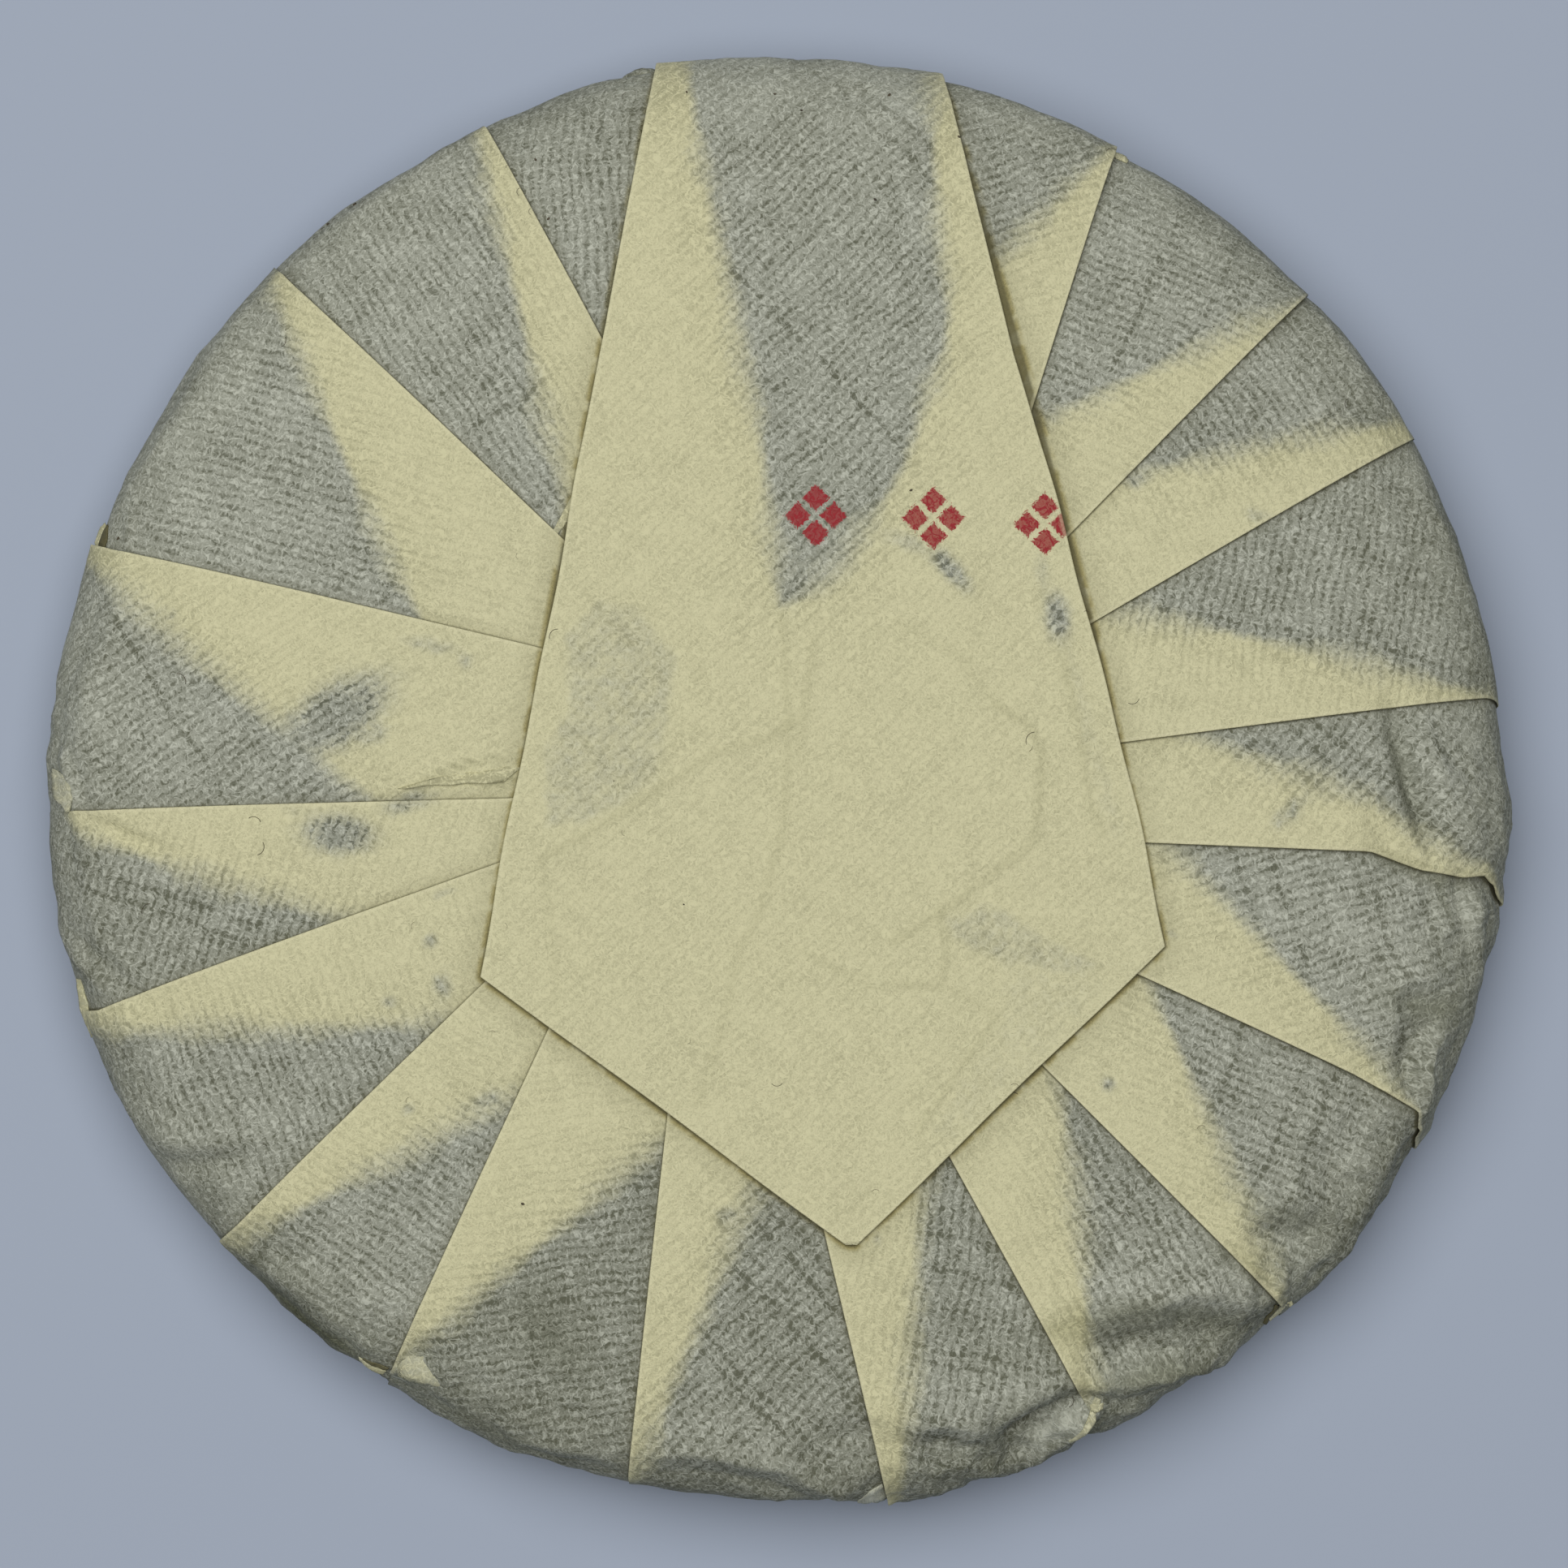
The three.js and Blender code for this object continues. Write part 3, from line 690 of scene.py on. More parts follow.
# The flap's outline in plan, closed outside the cake
def flapOutline():
    left, right = direction(flap["leftRim"]), direction(flap["rightRim"])
    rim, outside = cake["radius"], 115
    (tipX, tipY), half = flap["tip"], flap["tipWidth"] / 2
    return [tuple(outside * left), tuple(rim * left), flap["leftCorner"], (tipX - half, tipY),
            (tipX + half, tipY), flap["rightCorner"], *flap["rightSide"],
            tuple(rim * right), tuple(outside * right)]


# Signed distance to a polygon, positive outside
def polygonDistance(x, y, corners):
    best = np.full_like(x, 1e9)
    inside = np.zeros(x.shape, dtype=bool)
    for start, end in zip(corners, corners[1:] + corners[:1]):
        best = np.minimum(best, nearSegment(x, y, start, end)[1])
        (x1, y1), (x2, y2) = start, end
        crosses = (y1 > y) != (y2 > y)
        with np.errstate(divide="ignore", invalid="ignore"):
            inside ^= crosses & (x < (x2 - x1) * (y - y1) / (y2 - y1) + x1)
    return np.where(inside, -best, best)


def lineHeight(x, y, lines):
    total = np.zeros_like(x)
    for height, width, line in lines:
        away = [nearSegment(x, y, start, end)[1] for start, end in zip(line, line[1:])]
        total += height * (1 - smooth(0, width, np.min(away, axis=0)))
    return total


# The flap follows the pleats under it a little: up at each fold, down again to the next
def pleatWave(x, y):
    first, rise = pleats[0].rim, flap["waveEdge"]
    angle, away = polar(x, y)
    angle = np.mod(angle - first, 360) + first
    radius = np.maximum(wrapper["hiddenRadius"], away)
    edges = [pleat.rim - foldSlant(pleat, radius) for pleat in pleats]
    wave = np.zeros_like(x)
    for start, end in zip(edges, edges[1:] + [edges[0] + 360]):
        t = (angle - start) / (end - start)
        shape = smooth(-rise, rise, t) * (1 - np.clip(t, 0, 1))
        wave += np.where((t > -rise) & (t <= 1), shape, 0)
    return wave * smooth(*flap["waveFrom"], away)


# Faint shades of the layers below
def shadeDepth(x, y, shades):
    depth = np.zeros_like(x)
    for strength, corners in shades:
        inside = 1 - smooth(*flapShadeBorder, polygonDistance(x, y, corners))
        depth = np.maximum(depth, strength * inside)
    return depth


# Where the flap's side crosses a ring of the cake
def sideAngle(rimDegrees, corner, radius):
    start = cake["radius"] * direction(rimDegrees)
    way = np.array(corner) - start
    way /= np.linalg.norm(way)
    nearest = -start @ way
    half = radius ** 2 - start @ start + nearest ** 2
    at = start + way * max(0.0, nearest - math.sqrt(max(0.0, half)))
    return math.degrees(math.atan2(at[1], at[0]))


# Rows of the flap on the cake's own surface: points, facing, run, side and fold
def flapRows():
    rows = []
    sides = [(flap[side + "Rim"], flap[side + "Corner"]) for side in ("left", "right")]
    across = np.linspace(0, 1, flap["across"] + 1)
    for r in np.nonzero((profile["fold"] > 0) & (profile["share"] >= flap["archedTo"]))[0]:
        radius, top, fold = profile["radius"][r], profile["top"][r], profile["fold"][r]
        left, right = (sideAngle(rim, corner, radius) if top else rim for rim, corner in sides)
        angle = left + (right - left) * across
        inset, run = (np.full_like(angle, profile[key][r]) for key in ("inset", "run"))
        crease = creaseHeight(angle, inset, rimCreases) * fold
        base, facing = onCake(angle, *(profile[key][r] for key in surface), crease)
        rows.append((base, facing, run, profile["side"][r], fold))
    arch = rows[-1][0][:, :2]
    archLeft, archRight = arch[0], arch[-1]
    rise = arch - (archLeft + (archRight - archLeft) * across[:, None])
    top = profile["top"]
    shareTop, runTop = profile["share"][top][::-1], profile["run"][top][::-1]
    halfTip = np.array([flap["tipWidth"] / 2, 0])
    tip = np.array(flap["tip"])
    for i in range(1, flap["rowsToCorners"] + flap["rowsToTip"] + 1):
        along = i / flap["rowsToCorners"]
        toCorner = min(1, along)
        toTip = max(0, (i - flap["rowsToCorners"]) / flap["rowsToTip"])
        left = archLeft + (np.array(flap["leftCorner"]) - archLeft) * toCorner
        right = archRight + (np.array(flap["rightCorner"]) - archRight) * toCorner
        left = left + (tip - halfTip - left) * toTip
        right = right + (tip + halfTip - right) * toTip
        right[0] += flap["rightBow"] * math.sin(math.pi * toCorner)
        plan = left + (right - left) * across[:, None] + rise * (1 - toCorner) ** 2
        wavy = sum(depth * math.sin(rate * along + start) for depth, rate, start in flap["waver"])
        plan[:, 0] += wavy * (2 * across - 1) * min(1, 4 * along)
        share = np.linalg.norm(plan, axis=1) / cake["radius"]
        base = np.column_stack([plan, backHeight(share)])
        facing = np.tile([0.0, 0.0, 1.0], (len(plan), 1))
        rows.append((base, facing, np.interp(share, shareTop, runTop), 1.0, 1.0))
    return rows


def buildFlap():
    thick = flap["thickness"]
    middle = (flap["ribs"] + weaveTurn) / 2
    turns = np.linspace(0, math.pi, flap["roll"] + 1)[1:-1]
    rows = collections.defaultdict(list)
    for base, facing, run, side, fold in flapRows():
        way = np.gradient(base, axis=0)
        way /= np.linalg.norm(way, axis=1)[:, None]
        x, y = base[:, 0], base[:, 1]
        angle, away = polar(x, y)
        window = smooth(-flap["bandEdge"], flap["bandEdge"], polygonDistance(x, y, flapWindow))
        relief = flap["band"] * (window - 1) + lineHeight(x, y, flapLines)
        relief += flap["wave"] * (pleatWave(x, y) - flap["waveMiddle"])
        top = flap["top"] * fold ** flap["start"] + relief * fold
        upper, core, lower = (base + facing * (top - part * thick)[:, None] for part in (0, 0.5, 1))
        right = [core[-1] + thick / 2 * (way[-1] * math.sin(a) + facing[-1] * math.cos(a)) for a in turns]
        left = [core[0] - thick / 2 * (way[0] * math.sin(a) + facing[0] * math.cos(a)) for a in turns]
        rows["points"].append(np.concatenate([upper, right, lower[::-1], left]))
        fromLeft, fromRight = (np.linalg.norm(base - base[i], axis=1) for i in (0, -1))
        around = {
            "sheet": sheetPlace(angle, middle, run, away, side),
            "outward": facing,
            "edge": np.minimum(fromLeft, fromRight),
        }
        for key, values in around.items():
            first, last = (np.repeat(end, len(turns), 0) for end in (values[:1], values[-1:]))
            rows[key].append(np.concatenate([values, last, values[::-1], first]))
    loop, rowCount = len(rows["points"][0]), len(rows["points"])
    faces = []
    for a in range((rowCount - 1) * loop):
        b = a + 1 if (a + 1) % loop else a + 1 - loop
        faces.append((a, b, b + loop, a + loop))
    faces += [tuple(range(loop)), tuple(range((rowCount - 1) * loop, rowCount * loop))]
    numbers = joined(rows)
    points, sheet = numbers.pop("points"), numbers.pop("sheet")
    x, y = points[:, 0], points[:, 1]
    angle, away = polar(x, y)
    share = away / cake["radius"]
    inset = cake["radius"] * (1 - share) * 1.1  # along the curved paper
    far, one = np.full_like(x, farAway), np.ones_like(x)
    numbers.update({
        "tuck": polygonDistance(x, y, flapWindow),
        "foot": far,
        "gap": far,
        "blot": np.maximum(blotchDepth(x, y, flapBlotches), shadeDepth(x, y, flapShades)),
        "crumple": crumpleDepth(angle, share, one),
        "shade": flap["shade"] * one,
        "seam": one,
        "clear": 1 - flap["wallClear"] * (1 - smooth(*wrapper["wallShadeEnd"], inset)),
        # the layer edges below showing through, with painted shade of their low ridges
        "paintedShade": flap["lineShade"] * lineHeight(x, y, flapLines),
    })
    return paperMesh("flap_draft", points, faces, sheet, numbers)


# Small lips of paper where the folds end at the rim: how far the free edge is lifted, how much
# doubled paper (cream above 0, grey below), how dark (above 1 a painted shadow: a thin dark sheet
# in the gap under a fold's end), and the held edge and the free one, as angles and distances in
# from the widest line
lips = [
    (1, 0, 0.05, [(180.1, 7.1), (181, 8.5), (182.2, 8.8), (183.1, 7.8)],
                     [(179.5, 4.6), (180.4, 5.2), (181.8, 5.2), (183.1, 7.4)]),
    (0.7, 1.4, 0.1, [(196.4, 3), (198, 3.2), (199.4, 2.8), (200.8, 1)],
                     [(196.2, 2.2), (197.8, 2.2), (199.1, 1.4), (200.8, 0.4)]),
    (0.7, 0.8, 0.2, [(159.5, 2.6), (160.5, 2.2), (161.4, 2.4)], [(159.3, 2), (160.3, 0.8), (161.4, 1.6)]),
    (0.1, 0, 2, [(159.5, 3.6), (160.5, 4.6), (161.4, 4.8)], [(159.4, 3.2), (160.4, 2.8), (161.4, 2.8)]),
    (0.5, 0.8, 0.15, [(312.2, 2.2), (313.1, 3.8), (313.8, 5)], [(312.1, 1.6), (313.2, 2.9), (314, 4.2)]),
    (0.4, 6, 0, [(314, 5.2), (314.4, 4)], [(313.9, 4.3), (314.2, 3.2)]),
    (0.4, 1, 0, [(313.8, 6.7), (315.4, 7.4)], [(313.9, 5.8), (315.3, 6.4)]),
    (0.1, 0, 2, [(311.6, 1.6), (312.6, 4.4), (313.2, 5.8)], [(311.7, 1), (312.8, 3.6), (313.4, 5.2)]),
    (0.4, -0.6, 0, [(237.2, 5.2), (238, 6.4), (239.2, 5.8)], [(237.2, 4.6), (238, 4.4), (239, 4.9)]),
    (0.1, 0, 2, [(234.8, 4.6), (236, 5), (237, 5.2)], [(234.8, 4.1), (236, 4.2), (237, 4.6)]),
    (0.4, -1.2, 0, [(276.4, 2), (277.4, 4.6), (278.5, 5.6)], [(276.4, 0.4), (277.6, 0.8), (278.9, 0.4)]),
    (0.4, 1.8, 0, [(279, 4.4), (280.2, 4.6), (281.8, 3.6)], [(279, 3), (280.2, 2.6), (281.8, 2.8)]),
    (0.5, 1.4, 0.1, [(296.3, 9), (296.8, 9), (297.4, 8.6)], [(296.2, 8.4), (296.7, 8.1), (297.3, 8)]),
    (0.4, 1.4, 0.2, [(332.3, 7.8), (332.9, 9), (333.8, 9.6)], [(332.5, 7), (333.2, 7.4), (333.9, 8.4)]),
    (0.4, 1, 0.2, [(60.2, 5.2), (60.9, 5.6), (61.7, 5.4)], [(60.2, 4.4), (60.9, 4.4), (61.7, 4.8)]),
    (0.2, 0.9, 0.15, [(297, 9.7), (295.6, 7.6), (293.6, 5.4)], [(297.3, 9.2), (295.9, 7), (293.8, 4.8)]),
    (0.2, 6, 0, [(356.4, 1.8), (357.6, 1.8)], [(356.7, 0.8), (357.4, 0.6)]),
    (1.1, -3, 0.6, [(102.6, 2.6), (101.2, 3), (99.6, 3)], [(102, 0.6), (101, 0.2), (99.8, 0.2)]),
    (1.3, 0.5, 0, [(237.2, 12.2), (238.3, 12.6), (239.9, 11.4), (241.3, 10), (242.2, 9.2)],
                     [(237.4, 7.4), (237.9, 6.3), (238.6, 6.3), (239.9, 6.9), (241.3, 7.5)]),
    (0.3, 1.5, 0.1, [(234.4, 4.2), (235.6, 4.4), (236.9, 4.4)], [(234.6, 3.2), (235.6, 3.2), (236.9, 3.4)]),
    (0.3, 1, 0, [(133, 60.7), (130.2, 60.3), (127.6, 59.4), (125, 58.4)],
                     [(133.4, 60), (130.9, 59.3), (128.2, 58.4), (125.6, 57.4)]),
    (0.5, 6, 0.1, [(182.9, 53.6), (181, 60.6), (178.8, 71)], [(182.9, 53.6), (182.6, 62), (182.8, 68)]),
]
lipGrid = {
    "along": 14,
    "across": 5,
    "thickness": 0.2,
    "clearance": 0.05,  # under the held edge
    "ragged": 0.12,  # degrees
    "raggedRate": 9.0,
    "clear": 0.3,  # how clearly the weave shows on them
}


def buildLips():
    along, across = lipGrid["along"], lipGrid["across"]
    count = (across + 1) * (along + 1)
    ends = np.sin(math.pi * np.linspace(0.06, 0.94, along + 1)) ** 0.6
    rim = [(0, i) for i in range(along)] + [(j, along) for j in range(across)]
    rim += [(across, i) for i in range(along, 0, -1)] + [(j, 0) for j in range(across, 0, -1)]
    faces, rows = [], collections.defaultdict(list)
    for number, (lift, doubled, dark, held, free) in enumerate(lips):
        steps = np.linspace(0, len(held) - 1, along + 1)
        for layer in (lipGrid["thickness"], 0.0):
            for t in np.linspace(0, 1, across + 1):
                mixed = (1 - t) * np.array(held) + t * np.array(free)
                angle, inset = (np.interp(steps, range(len(held)), mixed[:, axis]) for axis in (0, 1))
                ragged = lipGrid["ragged"] * np.sin(steps * lipGrid["raggedRate"]) * t
                rise = lift * math.sin(math.pi / 2 * t) * ends
                height = lipGrid["clearance"] + layer + rise + creaseHeight(angle, inset, rimCreases)
                place, facing = onShoulder(angle + ragged, inset, height)
                rows["points"].append(place)
                rows["outward"].append(facing)
        rows["tuck"].append(np.full(2 * count, doubled))
        rows["shade"].append(np.full(2 * count, dark))
        place = np.arange(2 * count).reshape(2, across + 1, along + 1) + 2 * count * number
        for j in range(across):
            for i in range(along):
                square = [(j, i), (j, i + 1), (j + 1, i + 1), (j + 1, i)]
                faces.append(tuple(place[0, b, c] for b, c in square))
                faces.append(tuple(place[1, b, c] for b, c in reversed(square)))
        for (j, i), (k, m) in zip(rim, rim[1:] + rim[:1]):
            faces.append((place[0, j, i], place[1, j, i], place[1, k, m], place[0, k, m]))
    numbers = joined(rows)
    points = numbers.pop("points")
    angle, away = polar(points[:, 0], points[:, 1])
    far, zero = np.full_like(away, farAway), np.zeros_like(away)
    numbers.update({
        "edge": far,
        "foot": far,
        # a lip darker than 1 takes the painted shadow line all over
        "gap": np.where(numbers["shade"] > 1, 0, far),
        "blot": zero,
        "crumple": crumpleDepth(angle, away / cake["radius"], 1.0),
        "seam": zero,
        "clear": zero + lipGrid["clear"],
        "paintedShade": zero,
    })
    return paperMesh("lips_draft", points, faces, points[:, :2], numbers)


# Crumpling and the lumps of the pressed leaves, as a geometry tree that moves the paper outwards

crumpling = {
    "creaseDepth": 1.9,
    "creaseSize": 10.0,
    "wrinkleDepth": 0.6,
    "wrinkleSize": 4.0,
    "lumpDepth": 0.3,
    "lumpSize": 6.0,
}


def geometryTree(name, sizes):
    nodeTree = bpy.data.node_groups.new(name, "GeometryNodeTree")
    nodeTree.interface.new_socket(name="Geometry", in_out="INPUT", socket_type="NodeSocketGeometry")
    for size in sizes:
        nodeTree.interface.new_socket(name=size, in_out="INPUT", socket_type="NodeSocketFloat")
    nodeTree.interface.new_socket(name="Geometry", in_out="OUTPUT", socket_type="NodeSocketGeometry")
    tree = Tree(nodeTree)
    group = tree.plain("NodeGroupInput", {}, {})
    return tree, {socket.name: Value(tree, socket) for socket in group.outputs if socket.name}


def endTree(tree, geometry, material):
    real = tree.node("GeometryNodeRealizeInstances", {}, {0: geometry})
    painted = tree.node("GeometryNodeSetMaterial", {}, {"Geometry": real, "Material": material})
    tree.plain("NodeGroupOutput", {}, {0: painted})


def crumpleTree(material):
    tree, given = geometryTree("crumplePaper", list(crumpling))
    place = tree.node("GeometryNodeInputPosition")
    outward, where = tree.named("outward", "FLOAT_VECTOR"), tree.named("crumple")

    def cells(size, seed):  # a pattern of facets whose borders are bent by noise
        moved = tree.vector("ADD", place, (seed, 0.0, 0.0))
        wobble = tree.node("ShaderNodeTexNoise", {}, {"Vector": moved, "Scale": 1.2 / size}, 1)
        bent = tree.vector("ADD", moved, tree.scaled(wobble, size * 0.6))
        settings = {"feature": "F1", "distance": "MANHATTAN"}
        return tree.node("ShaderNodeTexVoronoi", settings, {"Vector": bent, "Scale": 1 / size}) - 0.6

    creases = cells(given["creaseSize"], 0.3) * given["creaseDepth"]
    wrinkles = cells(given["wrinkleSize"], 0.7) * given["wrinkleDepth"]
    lumps = (tree.noise(place, 1 / given["lumpSize"]) - 0.5) * given["lumpDepth"]
    offset = tree.scaled(outward, (creases + wrinkles) * where + lumps)
    moved = tree.node("GeometryNodeSetPosition", {}, {"Geometry": given["Geometry"], "Offset": offset})
    endTree(tree, moved, material)
    return tree.nodeTree


# The plain mesh that a draft and its geometry tree give. The draft is removed.
def plainPiece(draft, nodeTree, sizes, name):
    modifier = draft.modifiers.new(name, "NODES")
    modifier.node_group = nodeTree
    for item in nodeTree.interface.items_tree:
        if item.in_out == "INPUT" and item.name in sizes:
            modifier[item.identifier] = sizes[item.name] * mm
    depsgraph = bpy.context.evaluated_depsgraph_get()
    mesh = bpy.data.meshes.new_from_object(draft.evaluated_get(depsgraph))
    mesh.name = name
    bpy.data.objects.remove(draft)
    piece = meshObject(name, mesh)
    print(name, "made:", len(mesh.polygons), "faces")
    return piece


# Brown plant fibres in the paper, and crumbs of tea that cling to it

fibres = {
    "number": 49,
    "seed": 11,
    "lowest": 12.0,  # none lies below this height
    "scattered": (0.35, 1.25),  # smallest and largest
    "sizes": {"bow": 1.0, "thickness": 0.075, "lift": 0.03},
    # x, y, turn, size
    "placed": [
        (-33.9, 79.9, 120, 0.8), (-32.7, 77.2, 127, 0.6), (46.2, 86.1, 50, 0.9), (32.8, -43.9, 30, 0.6),
        (43.1, 21.9, 35, 0.5), (-48, -22, 107, 0.6), (-50.4, -44.9, 100, 0.5), (81.6, -37.2, 80, 0.7),
        (-63.4, 76, 40, 0.7), (-61.6, 77.6, 70, 0.6), (-60.2, 78.9, 20, 0.7), (-57.4, 80.6, 50, 0.5),
        (-64.8, 74.6, 60, 0.5), (-42.6, 52.9, 130, 0.7), (12.9, -58, 35, 0.6), (-20.4, -8.6, 150, 0.5),
        (61, -22.5, 75, 0.5), (-70.1, -52, 10, 0.6), (-20.9, 94.1, 110, 0.8), (-35.9, 83.6, 70, 0.5),
        (-32.2, 82.9, 20, 0.6),
    ],
}

crumbs = {
    "number": 18,
    "seed": 5,
    "lowest": 13.0,
    "scattered": (0.4, 1.0),
    "sizes": {"bow": 0.17, "thickness": 0.26, "lift": 0.06},
    "placed": [
        (12.8, 78, 0, 1.2), (15.4, 93.9, 90, 1.3), (3.2, 91.4, 30, 1), (17.6, 37.7, 60, 1.1),
        (-34.1, -60.2, 20, 1.2), (-31.5, 76.1, 80, 1.2), (25.7, 87.2, 10, 1.1), (-62.4, 76.9, 30, 1.4),
        (-59, 79.6, 70, 1.3), (-91, 32.3, 90, 1.2), (71.9, 34.5, 45, 0.8), (-12.9, -18.2, 15, 0.7),
        (-33.2, 84.7, 160, 1.1), (-0.4, 93.9, 30, 1),
    ],
}


fleckRules = {
    "upward": 0.3,  # least upward part of the normal of a face that bears one
    "near": 0.6,  # of faces within this, the highest is taken
    "reach": 0.8,  # a scattered place with no face this near is drawn anew
}


# Points on the paper where flecks lie, some placed and some scattered, with their turn and size
def fleckPoints(flecks, papers):
    rows = {"center": [], "normal": []}
    for piece in papers:
        for key, found in rows.items():
            values = np.empty(len(piece.data.polygons) * 3)
            piece.data.polygons.foreach_get(key, values)
            found.append(values.reshape(-1, 3))
    middles, normals = (np.concatenate(found) for found in rows.values())
    middles = middles / mm
    facingUp = (middles[:, 2] > flecks["lowest"]) & (normals[:, 2] > fleckRules["upward"])
    middles, normals = middles[facingUp], normals[facingUp]
    chance = np.random.default_rng(flecks["seed"])
    chosen = []

    def choose(x, y, turn, size, reach):  # the highest of the faces near a place
        away = np.hypot(middles[:, 0] - x, middles[:, 1] - y)
        near = np.nonzero(away < away.min() + fleckRules["near"])[0]
        if away.min() < reach:
            chosen.append((near[np.argmax(middles[near, 2])], turn, size))

    for x, y, turn, size in flecks["placed"]:
        choose(x, y, math.radians(turn), size, math.inf)
    while len(chosen) < flecks["number"]:
        x, y = chance.uniform(-cake["radius"], cake["radius"], 2)
        turn, size = chance.uniform(0, 2 * math.pi), chance.uniform(*flecks["scattered"])
        choose(x, y, turn, size, fleckRules["reach"])
    at, turns, sizes = (list(values) for values in zip(*chosen))
    mesh = bpy.data.meshes.new("fleck_points")
    mesh.from_pydata((middles[at] * mm).tolist(), [], [])
    for key, values in (("outward", normals[at]), ("turn", turns), ("size", sizes)):
        setNumbers(mesh, key, np.array(values))
    return meshObject("fleckDraft", mesh)


# A short bent tube at every point
def fleckTree(name, sizes, material):
    tree, given = geometryTree(name, list(sizes))
    arc = tree.node("GeometryNodeCurveArc", {"mode": "RADIUS"}, {
        "Resolution": 8, "Radius": given["bow"], "Sweep Angle": 1.9})
    ring = tree.node("GeometryNodeCurvePrimitiveCircle", {"mode": "RADIUS"}, {
        "Resolution": 6, "Radius": given["thickness"] * 0.5})
    tube = tree.node("GeometryNodeCurveToMesh", {}, {"Curve": arc, "Profile Curve": ring, "Fill Caps": True})
    outward = tree.named("outward", "FLOAT_VECTOR")
    turn, size = tree.named("turn"), tree.named("size")
    flat = tree.node("FunctionNodeAlignEulerToVector", {"axis": "Z"}, {"Vector": outward})
    aimed = tree.node("FunctionNodeRotateEuler", {"rotation_type": "AXIS_ANGLE", "space": "LOCAL"}, {
        "Rotation": flat, "Axis": (0.0, 0.0, 1.0), "Angle": turn})
    raised = tree.node("GeometryNodeSetPosition", {}, {
        "Geometry": given["Geometry"], "Offset": tree.scaled(outward, given["lift"])})
    points = tree.node("GeometryNodeMeshToPoints", {}, {"Mesh": raised})
    placed = tree.node("GeometryNodeInstanceOnPoints", {}, {
        "Points": points, "Instance": tube, "Rotation": aimed, "Scale": tree.combine(size, size, size)})
    endTree(tree, placed, material)
    return tree.nodeTree


# Thin handmade cotton paper: ribs with broken dashes, fibres, cream in several layers and grey
# where one layer lies on dark tea. Pitches and widths are millimetres of the flat sheet.

paper = {
    "ribPitch": 1.36,
    "dashPitch": 0.92,
    "cream": (0.672, 0.643, 0.398),
    "creamShade": (0.425, 0.408, 0.243),
    "grey": (0.530, 0.543, 0.452),
    "greyShade": (0.121, 0.125, 0.083),
    # dark of the painted shadow lines under folded edges and beside the flap
    "line": (0.10, 0.09, 0.040),
    # ochre of a band beside the flap, partly a stain and partly painted shadow
    "stainAndShadow": (0.60, 0.54, 0.34),
    # the dark tint that painted shade multiplies towards
    "paintedShade": (0.35, 0.355, 0.25),
    # a painted highlight along the turned edges
    "turnedEdgeHighlight": (0.80, 0.76, 0.50),
    "roughness": 0.78,
    "bump": 0.06,
    "wander": (0.10, 2.2),  # noise that bends the ribs: scale and size
    "wobble": (0.8, 0.9),
    "tilt": (38, 97, -24),  # directions of the pale fibres
    # painted shadow beside a fold and beside the flap: a thin line and a soft shade, widths and strength
    "foldShadowLine": (0.5, 0.6, 0.62),
    "foldShade": (2.4, 4.6, 0.20),
    # the ochre band beside the flap, partly a stain and partly painted shadow
    "stainAndShadowReach": (0.4, 1.2, 0.9),  # beside the flap: from, to and strength
    # painted highlight on a turned edge: from, to and strength
    "turnedLight": (0.15, 0.5, 0.25),  # on a turned edge, the same
}

marks = {
    "places": [(5.4, 34.6), (21.4, 34.2), (36.6, 33.4)],
    "spread": 1.72,  # from a mark's middle to its four squares
    "half": 1.3,  # half the side of a square
    "edge": 0.12,
    "above": (20.0, 21.0),  # heights between which the ink begins, so that none is on the underside
    "ink": (0.32, 0.022, 0.028),
}


def rgba(colour):
    return (*colour, 1.0)


def newMaterial(name):
    material = bpy.data.materials.new(name)
    material.use_nodes = True
    material.node_tree.nodes.clear()
    return material, Tree(material.node_tree)


def endMaterial(tree, inputs):
    tree.plain("ShaderNodeOutputMaterial", {}, {0: tree.node("ShaderNodeBsdfPrincipled", {}, inputs)})


def inkMask(tree, edge):
    x, y, z = tree.split(tree.scaled(tree.node("ShaderNodeTexCoord", output=3), 1 / mm))
    ink = None
    for markX, markY in marks["places"]:
        dx, dy = x - markX, y - markY
        s, t = (dx + dy) * math.sqrt(0.5), (dx - dy) * math.sqrt(0.5)
        square = (s.abs() - marks["spread"]).abs().max((t.abs() - marks["spread"]).abs())
        mark = 1 - (square + edge).between(marks["half"] - marks["edge"], marks["half"] + marks["edge"])
        ink = mark if ink is None else ink.max(mark)
    return ink * z.between(*marks["above"])


